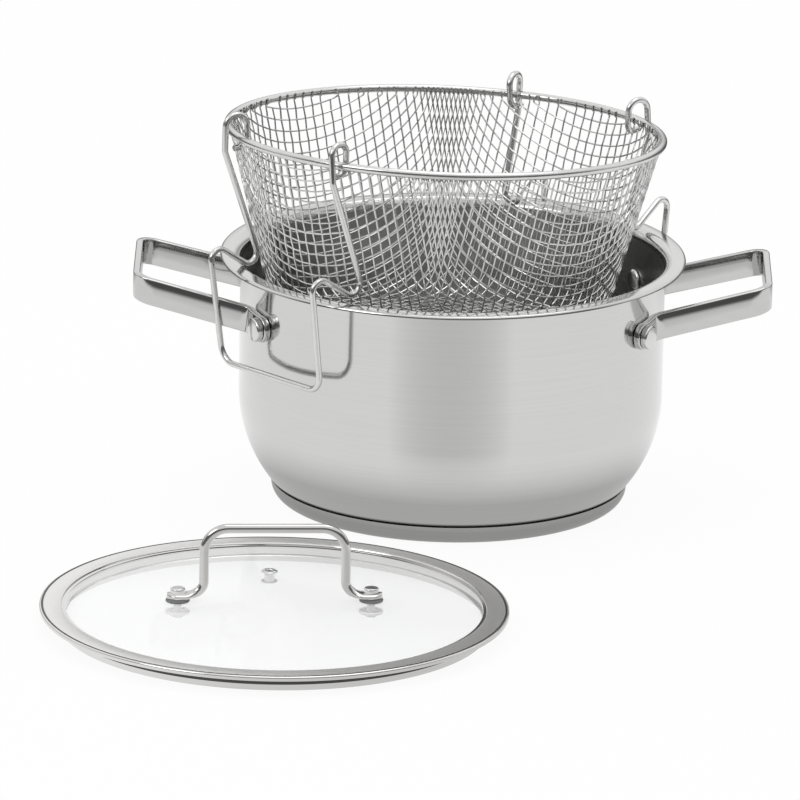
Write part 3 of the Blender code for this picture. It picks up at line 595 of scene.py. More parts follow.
def close_piece(item, finish, smooth_angle):
    """Weld, turn the faces outwards, smooth and paint a piece that is open in edit mode."""
    bpy.ops.mesh.select_mode(type="VERT")
    bpy.ops.mesh.select_all(action="SELECT")
    bpy.ops.mesh.remove_doubles(threshold=WELD)
    bpy.ops.mesh.normals_make_consistent(inside=False)
    to_object_mode()
    bpy.ops.object.shade_smooth_by_angle(angle=math.radians(smooth_angle))
    item.data.materials.clear()
    item.data.materials.append(finish_named(finish))
    return item


def settle(item, matrix):
    """Put a finished piece in its place, and keep the place in its mesh."""
    select_only(item)
    item.matrix_world = matrix
    bpy.ops.object.transform_apply(location=True, rotation=True, scale=True)


def mount_piece(item, body, slot, *nodes):
    """Tie a piece to its body and let it replace CAD nodes; the slot is not used.

    The lid stays out of the steel's reflections, because the pot's wall shows none of it.
    """
    item.visible_glossy = body != "lid"
    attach(item, body)
    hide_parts(*nodes)


def arc(centre, radius, start, end, steps):
    """Points (radius, height) of an arc from one angle to another."""
    points = []
    for step in range(steps + 1):
        turn = start + (end - start) * step / steps
        points.append((centre[0] + radius * math.cos(turn), centre[1] + radius * math.sin(turn)))
    return points


def turned_piece(name, section, finish, closed=False, steps=None, smooth_angle=40):
    """Draw a section of (radius, height) points edge by edge and spin it round Z."""
    item = start_piece(name, bpy.ops.mesh.primitive_plane_add, size=POINT_SIZE)
    bpy.ops.mesh.select_all(action="SELECT")
    bpy.ops.mesh.merge(type="CENTER")
    outline = list(section) + ([section[0]] if closed else [])
    bpy.ops.transform.translate(value=(outline[0][0], 0, outline[0][1]))
    for before, after in zip(outline, outline[1:]):
        step = (after[0] - before[0], 0, after[1] - before[1])
        bpy.ops.mesh.extrude_region_move(TRANSFORM_OT_translate={"value": step})
    bpy.ops.mesh.select_all(action="SELECT")
    bpy.ops.mesh.spin(steps=steps or settings().pot.round_steps, angle=math.tau,
                      center=(0, 0, 0), axis=(0, 0, 1))
    return close_piece(item, finish, smooth_angle)


def wire_piece(name, paths, radius, finish, sides):
    """Round wires along lists of points, drawn as one curve and made a mesh."""
    to_object_mode()
    bpy.ops.object.select_all(action="DESELECT")
    bpy.ops.curve.primitive_bezier_curve_add()
    item = bpy.context.object
    item.name = name
    item.data.name = name
    item.data.dimensions = "3D"
    item.data.bevel_depth = radius
    item.data.bevel_resolution = (sides - 4) // 2
    item.data.use_fill_caps = True
    item.data.splines.clear()
    for path in paths:
        spline = item.data.splines.new("POLY")
        spline.points.add(len(path) - 1)
        for spot, point in zip(spline.points, path):
            spot.co = (point[0], point[1], point[2], 1.0)
    bpy.ops.object.convert(target="MESH")
    item = bpy.context.object
    bpy.ops.object.mode_set(mode="EDIT")
    return close_piece(item, finish, WIRE_SMOOTH)


def rounded_path(corners, steps):
    """A path through (point, bend radius) corners, each rounded to its radius."""
    path = [Vector(corners[0][0])]
    for before, (corner, bend), after in zip(corners, corners[1:-1], corners[2:]):
        corner = Vector(corner)
        towards = (Vector(before[0]) - corner).normalized()
        away = (Vector(after[0]) - corner).normalized()
        half = towards.angle(away) / 2
        centre = corner + (towards + away).normalized() * (bend / math.sin(half))
        first = corner + towards * (bend / math.tan(half)) - centre
        last = corner + away * (bend / math.tan(half)) - centre
        turn = first.angle(last)
        for step in range(steps + 1):
            part = step / steps
            path.append(centre + first * (math.sin((1 - part) * turn) / math.sin(turn))
                        + last * (math.sin(part * turn) / math.sin(turn)))
    path.append(Vector(corners[-1][0]))
    return path


# The pot

def flare_centre():
    pot = settings().pot
    return (pot.wall_radius - pot.sheet + pot.flare_radius, pot.height - pot.flare_radius)


def flange_radius():
    return flare_centre()[0] + settings().pot.flange_width


def bowl_section():
    """The drawn sheet in section, from the middle of its underside round the rim and back."""
    pot = settings().pot
    steps = pot.bend_steps
    floor = pot.base_height + pot.sheet
    foot = pot.wall_radius - pot.belly_radius * (1 - math.cos(pot.belly_turn))
    belly = (pot.wall_radius - pot.belly_radius,
             floor + pot.belly_radius * math.sin(pot.belly_turn))
    lip = (flange_radius() - pot.lip_radius, pot.height - pot.lip_droop - pot.lip_radius)
    points = [(0, pot.base_height), (foot - pot.lip_radius, pot.base_height)]
    points += arc(belly, pot.belly_radius, -pot.belly_turn, 0, 2 * steps)
    points += arc(flare_centre(), pot.flare_radius - pot.sheet, math.pi, math.pi / 2, steps)
    points += arc(lip, pot.lip_radius - pot.sheet, math.pi / 2, 0, steps // 2)
    points += arc(lip, pot.lip_radius, 0, math.pi / 2, steps // 2)
    points += arc(flare_centre(), pot.flare_radius, math.pi / 2, math.pi, steps)
    points += arc(belly, pot.belly_radius - pot.sheet, 0, -pot.belly_turn, 2 * steps)
    return points + [(foot - pot.flare_radius, floor), (0, floor)]


def paint_inside(item, finish):
    """Give the faces inside the bowl, below its flare, a finish of their own."""
    pot = settings().pot
    item.data.materials.append(finish_named(finish))
    for face in item.data.polygons:
        out = Vector((face.center.x, face.center.y, 0))
        inward = out.dot(face.normal) < 0 or (face.normal.z > 0.7 and out.length < 0.1)
        if inward and face.center.z < pot.height - pot.flare_radius:
            face.material_index = 1


class FRYER_OT_bowl(bpy.types.Operator):
    """Turn the pot's bowl and its base cap."""

    bl_idname = "fryer.bowl"
    bl_label = "Bowl and Base"

    def execute(self, context):
        pot = settings().pot
        bowl = turned_piece("pot_bowl", bowl_section(), "Wall steel")
        paint_inside(bowl, "Inner steel")
        mount_piece(bowl, "pot", "pot_steel", "pot_body")
        seam = pot.base_height - TOUCH_GAP
        bend = (pot.base_radius - pot.base_bend, pot.base_bend)
        inner = pot.base_bend - pot.base_sheet
        section = [(0, 0)] + arc(bend, pot.base_bend, -math.pi / 2, 0, pot.bend_steps)
        section += [(pot.base_radius, seam), (pot.base_radius - pot.base_sheet, seam)]
        section += arc(bend, inner, 0, -math.pi / 2, pot.bend_steps) + [(0, pot.base_sheet)]
        cap = turned_piece("pot_base_cap", section, "Base steel")
        mount_piece(cap, "pot", "base_steel", "base_capsule")
        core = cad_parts["base_core"]
        core.data.materials.clear()
        core.data.materials.append(finish_named("Core aluminium"))
        return {"FINISHED"}


# The pot's handles

def handle_plan():
    """Centre line of the right handle, from one lug's end to the other's."""
    handle, pot = settings().handle, settings().pot
    seat = pot.wall_radius + TOUCH_GAP + handle.thickness / 2
    lug_end = handle.rivet_angle + (handle.height / 2) / seat
    lug_run = handle.lug_length * (1 - LUG_SLACK) - handle.height / 2
    bend_start = handle.rivet_angle - lug_run / seat
    points = []
    steps = 12
    for step in range(steps):
        turn = lug_end + (bend_start - lug_end) * step / steps
        points.append(Vector((seat * math.cos(turn), seat * math.sin(turn), 0)))
    outward = Vector((math.cos(bend_start), math.sin(bend_start), 0))
    centre = outward * (seat + handle.lug_bend)
    first, last = bend_start - math.pi, -handle.taper - math.pi / 2
    for step in range(steps + 1):
        turn = first + (last - first) * step / steps
        points.append(centre + Vector((math.cos(turn), math.sin(turn), 0)) * handle.lug_bend)
    arm = points[-1]
    bar_x = handle.reach - handle.thickness / 2
    corner = Vector((bar_x, arm.y - (bar_x - arm.x) * math.tan(handle.taper), 0))
    bend = rounded_path([(arm, 0), (corner, handle.corner_bend), ((bar_x, 0, 0), 0)], steps)
    half = points + bend[1:]
    root = (pot.wall_radius + handle.thickness) * math.cos(handle.rivet_angle)
    plan = half + [Vector((p.x, -p.y, 0)) for p in reversed(half[:-1])]
    for spot in plan:
        spot.z = handle.rivet_height + handle.rise * max(0, spot.x - root)
    return plan


def select_edges(item, wanted):
    """Select the edges of an open piece that a test on their ends and faces picks."""
    bpy.ops.mesh.select_mode(type="EDGE")
    bpy.ops.mesh.select_all(action="DESELECT")
    to_object_mode()
    mesh = item.data
    faces_of = {}
    for face in mesh.polygons:
        for key in face.edge_keys:
            faces_of.setdefault(key, []).append(face)
    for edge in mesh.edges:
        first, last = (mesh.vertices[index].co for index in edge.vertices)
        edge.select = wanted(first, last, faces_of[tuple(sorted(edge.vertices))])
    bpy.ops.object.mode_set(mode="EDIT")


def select_points(item, wanted):
    """Select the points of an open piece that a test on their place picks."""
    bpy.ops.mesh.select_mode(type="VERT")
    bpy.ops.mesh.select_all(action="DESELECT")
    to_object_mode()
    for point in item.data.vertices:
        point.select = wanted(point.co)
    bpy.ops.object.mode_set(mode="EDIT")


def bend_along(item, path, twist="Z_UP"):
    """Bend a straight piece that lies along X onto a path."""
    select_only(item)
    curve = bpy.data.curves.new(item.name + "_path", "CURVE")
    curve.dimensions = "3D"
    curve.twist_mode = twist
    spline = curve.splines.new("POLY")
    spline.points.add(len(path) - 1)
    for spot, point in zip(spline.points, path):
        spot.co = (*point, 1.0)
    guide = bpy.data.objects.new(item.name + "_path", curve)
    bpy.context.scene.collection.objects.link(guide)
    bpy.ops.object.modifier_add(type="CURVE")
    item.modifiers[-1].object = guide
    item.modifiers[-1].deform_axis = "POS_X"
    bpy.ops.object.modifier_apply(modifier=item.modifiers[-1].name)
    bpy.data.objects.remove(guide)


def path_length(path):
    return sum((after - before).length for before, after in zip(path, path[1:]))


def cut_at(x):
    bpy.ops.mesh.select_all(action="SELECT")
    bpy.ops.mesh.bisect(plane_co=(x, 0, 0), plane_no=(1, 0, 0))


def cut_across(low, high, spacing):
    """Cut an open piece across X at even distances, so that it can be bent."""
    steps = math.ceil((high - low) / spacing)
    for step in range(1, steps):
        cut_at(low + (high - low) * step / steps)


class FRYER_OT_handles(bpy.types.Operator):
    """Bend both strap handles from a flat bar, and turn their rivets."""

    bl_idname = "fryer.handles"
    bl_label = "Handles and Rivets"

    def execute(self, context):
        handle = settings().handle
        plan = handle_plan()
        run = path_length(plan)
        strap = start_piece("handle_strap_right", bpy.ops.mesh.primitive_cube_add, size=1,
                            location=(run / 2, 0, 0),
                            scale=(run, handle.thickness, handle.height))
        select_edges(strap, lambda a, b, faces: abs(a.y - b.y) > handle.thickness / 2)
        bpy.ops.mesh.bevel(offset=handle.height * LUG_ROUNDING, segments=8, affect="EDGES")
        select_edges(strap, lambda a, b, faces: any(abs(f.normal.y) > 0.9 for f in faces)
                     and any(abs(f.normal.y) < 0.1 for f in faces))
        bpy.ops.mesh.bevel(offset=handle.edge, segments=3, affect="EDGES")
        cut_across(0, run, STRAP_STATION)
        close_piece(strap, "Handle steel", 40)
        bend_along(strap, plan)
        other = strap.copy()
        other.data = strap.data.copy()
        other.name = "handle_strap_left"
        bpy.context.scene.collection.objects.link(other)
        settle(other, Matrix.Rotation(math.pi, 4, "Z"))
        mount_piece(strap, "pot", "handle_steel", "pot_handle_right")
        mount_piece(other, "pot", "handle_steel", "pot_handle_left")
        self.rivet_all()
        return {"FINISHED"}

    def section(self):
        """The rivet from its inner head to its outer one; height 0 is the wall's outside."""
        handle, pot = settings().handle, settings().pot
        lug_face = 2 * TOUCH_GAP + handle.thickness
        wall_face = -pot.sheet - 2 * TOUCH_GAP
        dome = handle.head_height * RIVET_DOME
        points = [(0, wall_face - handle.inner_height)]
        for step in range(1, 7):
            turn = math.pi / 2 * step / 6
            bulge = RIVET_BRIM + (1 - RIVET_BRIM) * math.cos(turn)
            points.append((handle.inner_radius * math.sin(turn),
                           wall_face - handle.inner_height * bulge))
        points += [(handle.inner_radius, wall_face), (handle.shank_radius, wall_face),
                   (handle.shank_radius, lug_face), (handle.head_radius, lug_face)]
        points += arc((handle.head_radius - dome, lug_face + handle.head_height - dome), dome,
                      0, math.radians(75), 5)
        return points + [(0, lug_face + handle.head_height)]

    def rivet_all(self):
        handle, pot = settings().handle, settings().pot
        places = {"right_rear": handle.rivet_angle, "right_front": -handle.rivet_angle,
                  "left_front": math.pi + handle.rivet_angle,
                  "left_rear": math.pi - handle.rivet_angle}
        for where, turn in places.items():
            rivet = turned_piece("rivet_" + where, self.section(), "Rivet steel",
                                 steps=SMALL_STEPS)
            spot = Matrix.Translation((pot.wall_radius * math.cos(turn),
                                       pot.wall_radius * math.sin(turn), handle.rivet_height))
            settle(rivet, spot @ Matrix.Rotation(turn, 4, "Z")
                   @ Matrix.Rotation(math.pi / 2, 4, "Y"))
            mount_piece(rivet, "pot", "rivet_steel", "handle_rivet_" + where)


# The basket. Its net is one square-woven sheet drawn into a cup, so its cells keep their side
# length and shear where the sheet has too much cloth.

def basket_place():
    basket = settings().basket
    normal = Vector((-basket.tilt_x, -basket.tilt_y, 1)).normalized()
    tilt = Vector((0, 0, 1)).rotation_difference(normal).to_matrix().to_4x4()
    return Matrix.Translation((basket.offset_x, 0, basket.rim_height)) @ tilt


class Net:
    """The woven sheet: its cup, its knots and its wires."""

    def __init__(self):
        basket = settings().basket
        self.basket = basket
        self.pitch = basket.pitch
        self.reach = basket.rim_wire + basket.wire
        hem_reach = basket.rim_wire + TOUCH_GAP + SOLID_NET_WIRE * math.sqrt(0.5)
        self.hem_radius = basket.rim_radius - hem_reach * math.cos(basket.hem_angle)
        self.hem_depth = hem_reach * math.sin(basket.hem_angle)
        turn = math.pi / 2 - basket.taper
        run = basket.depth - self.hem_depth - basket.corner * (1 - math.cos(turn))
        self.wall_length = run / math.cos(basket.taper)
        self.foot = self.hem_radius - self.wall_length * math.sin(basket.taper)
        self.flat = self.foot - basket.corner * math.sin(turn)
        self.bend_length = basket.corner * turn

    def cup(self, a, b):
        """A point of the cup, from its place on the flat sheet."""
        basket = self.basket
        travelled = math.hypot(a, b)
        if travelled < self.flat:
            radius, height = travelled, -basket.depth
        elif travelled < self.flat + self.bend_length:
            turn = (travelled - self.flat) / basket.corner
            radius = self.flat + basket.corner * math.sin(turn)
            height = -basket.depth + basket.corner * (1 - math.cos(turn))
        else:
            along = travelled - self.flat - self.bend_length
            radius = self.foot + along * math.sin(basket.taper)
            height = -self.hem_depth - (self.wall_length - along) * math.cos(basket.taper)
        if travelled < WELD:
            return Vector((0, 0, height))
        return Vector((radius * a / travelled, radius * b / travelled, height))

    def outward(self, a, b):
        """The way out of the cup, square to its wall."""
        nudge = self.pitch / 50
        along = self.cup(a + nudge, b) - self.cup(a - nudge, b)
        across = self.cup(a, b + nudge) - self.cup(a, b - nudge)
        return across.cross(along).normalized()

    def solve(self, guess, misses):
        """Newton steps on the sheet until both misses, in metres, are nothing."""
        a, b = guess
        nudge = self.pitch / 1000
        for _ in range(SEARCH_ROUNDS):
            first, second = misses(a, b)
            if abs(first) + abs(second) < WELD:
                return (a, b)
            by_a, by_b = misses(a + nudge, b), misses(a, b + nudge)
            slope = [(by_a[0] - first) / nudge, (by_b[0] - first) / nudge,
                     (by_a[1] - second) / nudge, (by_b[1] - second) / nudge]
            scale = slope[0] * slope[3] - slope[1] * slope[2]
            if abs(scale) < LEAST_SLOPE:
                return None
            a -= (first * slope[3] - second * slope[1]) / scale
            b -= (second * slope[0] - first * slope[2]) / scale
        return None

    def fourth(self, before, left, right):
        """The knot a pitch away from two others, on the far side from the one before them."""
        from_left, from_right = self.cup(*left), self.cup(*right)

        def misses(a, b):
            here = self.cup(a, b)
            return ((here - from_left).length - self.pitch,
                    (here - from_right).length - self.pitch)

        return self.solve((left[0] + right[0] - before[0], left[1] + right[1] - before[1]),
                          misses)

    def middle(self, last):
        """The next knot of the row beside the sheet's middle line."""
        from_last = self.cup(*last)

        def misses(a, b):
            here = self.cup(a, b)
            return ((here - from_last).length - self.pitch, 2 * here.y - self.pitch)

        return self.solve((last[0] + self.pitch, last[1]), misses)

    def knots(self):
        """Knots of one quarter of the net, by column and row from the sheet's middle."""
        across = SHEET_MARGIN * (self.basket.rim_radius + self.basket.depth)
        reach = math.ceil(across / self.pitch)
        knots = {(0, 0): (self.pitch / 2, self.pitch / 2)}
        for step in range(1, reach):
            last = knots.get((step - 1, 0))
            found = self.middle(last) if last else None
            if found is None or self.cup(*last).z > 0:
                break
            knots[(step, 0)] = found
            knots[(0, step)] = (found[1], found[0])
        for column in range(1, reach):
            for row in range(1, reach):
                corners = [knots.get((column - 1, row - 1)), knots.get((column - 1, row)),
                           knots.get((column, row - 1))]
                if all(corners) and self.cup(*corners[1]).z < 0 and self.cup(*corners[2]).z < 0:
                    knot = self.fourth(*corners)
                    if knot is not None:
                        knots[(column, row)] = knot
        return knots

    def wires(self):
        """The two sets of wires, each wire a list of points that goes over and under."""
        quarter = self.knots()
        count = 1 + max(column for column, row in quarter)
        span = range(-count, count)
        full = {}
        for column in span:
            for row in span:
                knot = quarter.get((max(column, -column - 1), max(row, -row - 1)))
                if knot is not None:
                    full[(column, row)] = (math.copysign(knot[0], column + 0.5),
                                           math.copysign(knot[1], row + 0.5))
        sets = []
        for direction in (0, 1):
            wires = []
            for line in span:
                keys = [(step, line) if direction == 0 else (line, step) for step in span]
                run = [key for key in keys if key in full]
                if len(run) > 2:
                    wires.append(self.one_wire([full[key] for key in run], run, direction))
            sets.append([wire for wire in wires if wire])
        return sets

    def one_wire(self, knots, keys, direction):
        """A wire through its knots, over one crossing wire and under the next."""
        swing = self.basket.wire * self.basket.weave
        points = []
        for index, (knot, key) in enumerate(zip(knots, keys)):
            side = 1 if (key[0] + key[1] + direction) % 2 else -1
            spot = self.cup(*knot) + self.outward(*knot) * (side * swing)
            if index:
                before = knots[index - 1]
                half = ((knot[0] + before[0]) / 2, (knot[1] + before[1]) / 2)
                points.append(self.cup(*half))
            points.append(spot)
        return self.trim(points)

    def trim(self, points):
        """End a wire at the hem, and let it climb the inside of the rim wire."""
        inside = [index for index, point in enumerate(points) if point.z < -self.hem_depth]
        if len(inside) < 2:
            return None
        first, last = inside[0], inside[-1]
        wire = points[first:last + 1]
        if first > 0:
            wire = self.climb(points[first], points[first - 1])[::-1] + wire
        if last < len(points) - 1:
            wire = wire + self.climb(points[last], points[last + 1])
        return wire

    def climb(self, low, high):
        """The end of a wire, from the hem up the inside of the rim wire."""
        part = (-self.hem_depth - low.z) / (high.z - low.z)
        hem = low.lerp(high, part)
        out = Vector((hem.x, hem.y, 0)).normalized()
        drift = (high - low).normalized().cross(out).z
        side = Vector((-out.y, out.x, 0)) * drift * self.reach
        start, swing = self.basket.hem_angle, self.basket.hem_angle + self.basket.grip_angle
        climbing = []
        for step in range(CLIMB_STEPS + 1):
            turn = start - swing * step / CLIMB_STEPS
            radius = self.basket.rim_radius - self.reach * math.cos(turn)
            climbing.append(out * radius + side * step / CLIMB_STEPS
                            + Vector((0, 0, -self.reach * math.sin(turn))))
        return climbing


class FRYER_OT_basket(bpy.types.Operator):
    """Weave the basket's net and bend its rim wire."""

    bl_idname = "fryer.basket"
    bl_label = "Basket"

    def execute(self, context):
        basket = settings().basket
        place = basket_place()
        turned = place @ Matrix.Rotation(basket.turn, 4, "Z")
        for name, wires in zip(("net_warp", "net_weft"), Net().wires()):
            net = wire_piece(name, wires, basket.wire, "Wire steel", sides=6)
            settle(net, turned)
            mount_piece(net, "basket", "wire_steel", "basket_net")
        rim = start_piece("basket_rim_wire", bpy.ops.mesh.primitive_torus_add,
                          major_radius=basket.rim_radius, minor_radius=basket.rim_wire,
                          major_segments=settings().pot.round_steps, minor_segments=16)
        close_piece(rim, "Wire steel", WIRE_SMOOTH)
        settle(rim, place)
        mount_piece(rim, "basket", "wire_steel", "basket_rim")
        return {"FINISHED"}


# The bails

def eye_spot(turn, side):
    basket = settings().basket
    around = turn + side * math.asin(settings().bail.half_width / basket.rim_radius)
    return basket_place() @ Vector((basket.rim_radius * math.cos(around),
                                    basket.rim_radius * math.sin(around), 0))


def bail_place(turn):
    """X points out of the pot, Y along the line through both eyes, Z up."""
    first, last = eye_spot(turn, -1), eye_spot(turn, 1)
    along = (last - first).normalized()
    up = Vector((math.cos(turn), math.sin(turn), 0)).cross(along).normalized()
    axes = Matrix((along.cross(up), along, up)).transposed().to_4x4()
    return Matrix.Translation((first + last) / 2) @ axes


def bail_path(turn):
    """One bail, from the stub of one eye to the stub of the other."""
    bail, pot = settings().bail, settings().pot
    middle = (eye_spot(turn, -1) + eye_spot(turn, 1)) / 2
    out = math.hypot(middle.x, middle.y)
    drop = middle.z - pot.height
    half = bail.half_width
    mouth = math.sqrt(flare_centre()[0] ** 2 - half ** 2)
    flange = math.sqrt(flange_radius() ** 2 - half ** 2)
    bar = pot.wall_radius + bail.wire + bail.bar_gap
    corners = [
        ((bail.eye_stub, half - bail.eye_lean, -bail.eye_reach), 0),
        ((-bail.eye_reach, half - bail.eye_lean, -bail.eye_reach), bail.eye_bend),
        ((-bail.eye_reach, half - bail.eye_lean / 2, bail.eye_top), bail.eye_top_bend),
        ((bail.eye_reach, half + bail.eye_lean / 2, bail.eye_top), bail.eye_top_bend),
        ((bail.eye_reach, half + bail.eye_lean, -bail.leg_start), bail.eye_bend),
        ((mouth - bail.hook_inset - out, half, -drop - bail.hook_depth), bail.hook_bend),
        ((flange + bail.hook_outset - out, half, -drop + bail.hook_rise), bail.hook_bend),
        ((bar - out, bail.bar_half_width, -drop - bail.bar_drop), bail.bar_bend),
    ]
    mirrored = [((x, -y, z), bend) for (x, y, z), bend in reversed(corners)]
    return rounded_path(corners + mirrored, bail.bend_steps)


class FRYER_OT_bails(bpy.types.Operator):
    """Bend the two wire bails with their eyes and hooks."""

    bl_idname = "fryer.bails"
    bl_label = "Bails"

    def execute(self, context):
        bail = settings().bail
        for where, turn in (("front", bail.front_turn), ("rear", bail.rear_turn)):
            wire = wire_piece("bail_wire_" + where, [bail_path(turn)], bail.wire, "Wire steel",
                              sides=16)
            settle(wire, bail_place(turn))
            mount_piece(wire, where + "_bail", "wire_steel", "bail_" + where)
        return {"FINISHED"}


# The lid, built on its own axis with its skirt's lower edge on the table

def lid_place():
    lid = settings().lid
    return Matrix.Translation((lid.x, lid.y, 0)) @ Matrix.Rotation(lid.turn, 4, "Z")


def skirt_radius():
    return settings().pot.wall_radius - settings().pot.sheet - settings().lid.fit


def glass_radius():
    return skirt_radius() - settings().lid.steel - TOUCH_GAP


def glass_low():
    return settings().lid.skirt_height - settings().lid.glass_inset


def glass_top(radius):
    """Height of the glass's upper face at a distance from its middle."""
    lid = settings().lid
    part = min(radius / (glass_radius() - lid.grip), 1.0)
    return glass_low() + lid.glass + lid.glass_rise * (1 - part ** 2)


def groove_start():
    """Radius at which the groove inside the flange's roll begins."""
    return settings().lid.flange_radius - settings().lid.roll - settings().lid.groove_width


def hoop_section():
    """The rolled ring in section: lip on the glass, step, flange, groove, bead and skirt."""
    lid = settings().lid
    half = lid.steel / 2
    top = glass_low() + lid.glass + TOUCH_GAP
    low = glass_low() - TOUCH_GAP
    lip = glass_radius() - lid.grip + TOUCH_GAP
    channel = glass_radius() + TOUCH_GAP
    skirt, flange, under = skirt_radius(), lid.flange_radius, lid.skirt_height
    face = under + lid.steel
    points = [(lip, top), (lip, top + half), (lip + half / 2, top + lid.steel)]
    points += [(lip + lid.ledge, top + lid.steel), (lip + lid.ledge + half / 2, face - half / 4),
               (lip + lid.ledge + half, face)]
    groove_floor = face - lid.steel * GROOVE_DEPTH
    points += [(groove_start(), face), (groove_start() + half / 4, groove_floor),
               (flange - lid.roll - half / 4, groove_floor)]
    points += arc((flange - lid.roll, face - lid.roll), lid.roll, math.pi / 2, 0, 8)
    points += arc((flange - half, face - lid.bead + half), half, 0, -math.pi, 8)
    points += [(flange - lid.steel, under)]
    points += arc((skirt + half, under - half), half, math.pi / 2, math.pi, 4)
    # The skirt's face is split here, where the painted shade under the flange ends.
    points += [(skirt, under - lid.painted_shade_depth)]
    points += arc((skirt - half, half), half, 0, -math.pi, 8)
    points += [(skirt - lid.steel, low - lid.steel), (lip + half, low - lid.steel),
               (lip, low - half), (lip + half, low), (channel, low), (channel, top)]
    return points


def paint_hoop(item, shade_finish, face_finish):
    """Paint shade as a darkened steel into the groove and the corner under the flange, and brush
    the flange's flat face.
    """
    lid = settings().lid
    item.data.materials.append(finish_named(shade_finish))
    item.data.materials.append(finish_named(face_finish))
    for face in item.data.polygons:
        out = math.hypot(face.center.x, face.center.y)
        above = face.center.z - lid.skirt_height
        beyond_skirt = skirt_radius() - lid.steel / 2 < out < lid.flange_radius - lid.steel
        in_shaded_corner = beyond_skirt and -lid.painted_shade_depth < above <= 0
        over_groove = groove_start() - lid.steel / 4 < out < lid.flange_radius - lid.roll
        in_shaded_groove = over_groove and lid.steel / 4 < above < lid.steel * 7 / 8
        # The groove and the corner under the flange get the darkened steel: painted shade.
        if in_shaded_corner or in_shaded_groove:
            face.material_index = 1
        if face.normal.z > 0.99 and above > lid.steel / 2:
            face.material_index = 2


def bore(item, spots):
    """Cut round holes straight down through a piece."""
    for x, y, radius in spots:
        to_object_mode()
        bpy.ops.object.select_all(action="DESELECT")
        bpy.ops.mesh.primitive_cylinder_add(vertices=32, radius=radius, depth=BORE_DEPTH,
                                            location=(x, y, glass_low()))
        tool = bpy.context.object
        select_only(item)
        bpy.ops.object.modifier_add(type="BOOLEAN")
        hole = item.modifiers[-1]
        hole.operation, hole.solver, hole.object = "DIFFERENCE", "EXACT", tool
        bpy.ops.object.modifier_apply(modifier=hole.name)
        bpy.data.objects.remove(tool)


class FRYER_OT_lid_pane(bpy.types.Operator):
    """Turn the lid's domed glass and its steel hoop."""

    bl_idname = "fryer.lid_pane"
    bl_label = "Lid Glass and Hoop"

    def execute(self, context):
        lid = settings().lid
        edge = glass_radius() - lid.grip
        stations = [edge * step / 12 for step in range(13)]
        rim = lid.glass / 2
        upper = [(radius, glass_top(radius)) for radius in stations]
        lower = [(radius, glass_top(radius) - lid.glass) for radius in reversed(stations)]
        side = arc((glass_radius() - rim, glass_low() + rim), rim, math.pi / 2, -math.pi / 2, 8)
        glass = turned_piece("lid_pane", upper + side + lower, "Clear glass")
        play = lid.shank_radius + TOUCH_GAP
        bore(glass, [(-lid.screw_half_span, 0, play), (lid.screw_half_span, 0, play),
                     (0, lid.vent_distance, lid.vent_tube + TOUCH_GAP)])
        settle(glass, lid_place())
        mount_piece(glass, "lid", "lid_glass", "lid_glass")
        hoop = turned_piece("lid_ring", hoop_section(), "Hoop steel", closed=True,
                            smooth_angle=50)
        paint_hoop(hoop, "Corner steel", "Flange steel")
        settle(hoop, lid_place())
        mount_piece(hoop, "lid", "lid_steel", "lid_hoop")
        return {"FINISHED"}


def lug_height():
    lid = settings().lid
    return (glass_top(lid.screw_half_span) + 2 * TOUCH_GAP + lid.grommet_thickness
            + lid.lug_thickness / 2)


def shape_lug(item, end, inward):
    """Hammer one end of the straight rod flat, rounded in plan, level with its underside."""
    lid = settings().lid
    taper = lid.lug_thickness * 2
    steps = round((lid.lug_length + taper) / LUG_STATION)
    for step in range(steps):
        along = step * LUG_STATION
        x = end + along * inward
        blend = min(max((lid.lug_length + taper / 2 - along) / taper, 0), 1)
        blend = blend * blend * (3 - 2 * blend)
        short = max(lid.lug_half_width - along, 0)
        half = math.sqrt(max(lid.lug_half_width ** 2 - short ** 2, lid.shank_radius ** 2))
        wide = 1 + (half / lid.rod_radius - 1) * blend
        thin = 1 + (lid.lug_thickness / (2 * lid.rod_radius) - 1) * blend
        select_points(item, lambda spot: abs(spot.x - x) < LUG_STATION / 4)
        bpy.ops.transform.resize(value=(1, wide, thin),
                                 center_override=(x, 0, -lid.rod_radius))


class FRYER_OT_lid_handle(bpy.types.Operator):
    """Flatten and bend the lid's rod handle."""

    bl_idname = "fryer.lid_handle"
    bl_label = "Lid Handle"

    def execute(self, context):
        lid = settings().lid
        tip = lid.screw_half_span + lid.lug_half_width
        foot = lug_height() - lid.lug_thickness / 2 + lid.rod_radius
        corners = [((-tip, 0, foot), 0), ((-lid.post_half_span, 0, foot), lid.rod_bend),
                   ((-lid.post_half_span, 0, lid.handle_height), lid.top_bend)]
        corners += [((-x, y, z), bend) for (x, y, z), bend in reversed(corners)]
        path = rounded_path(corners, 14)
        run = path_length(path)
        rod = start_piece("lid_rod", bpy.ops.mesh.primitive_cylinder_add, vertices=24,
                          radius=lid.rod_radius, depth=run, location=(run / 2, 0, 0),
                          rotation=(0, math.pi / 2, 0))
        for step in range(1, round(2 * lid.lug_length / LUG_STATION)):
            cut_at(step * LUG_STATION)
            cut_at(run - step * LUG_STATION)
        cut_across(2 * lid.lug_length, run - 2 * lid.lug_length, LUG_STATION)
        shape_lug(rod, 0, 1)
        shape_lug(rod, run, -1)
        close_piece(rod, "Lid steel", 50)
        bend_along(rod, path, "MINIMUM")
        settle(rod, lid_place())
        mount_piece(rod, "lid", "lid_steel", "lid_handle")
        return {"FINISHED"}


def ring_section(inner, outer, low, high):
    """A flat ring with eased edges."""
    eased = outer - RING_EDGE
    return [(inner, low), (eased, low), (outer, low + RING_EDGE), (outer, high - RING_EDGE),
            (eased, high), (inner, high)]


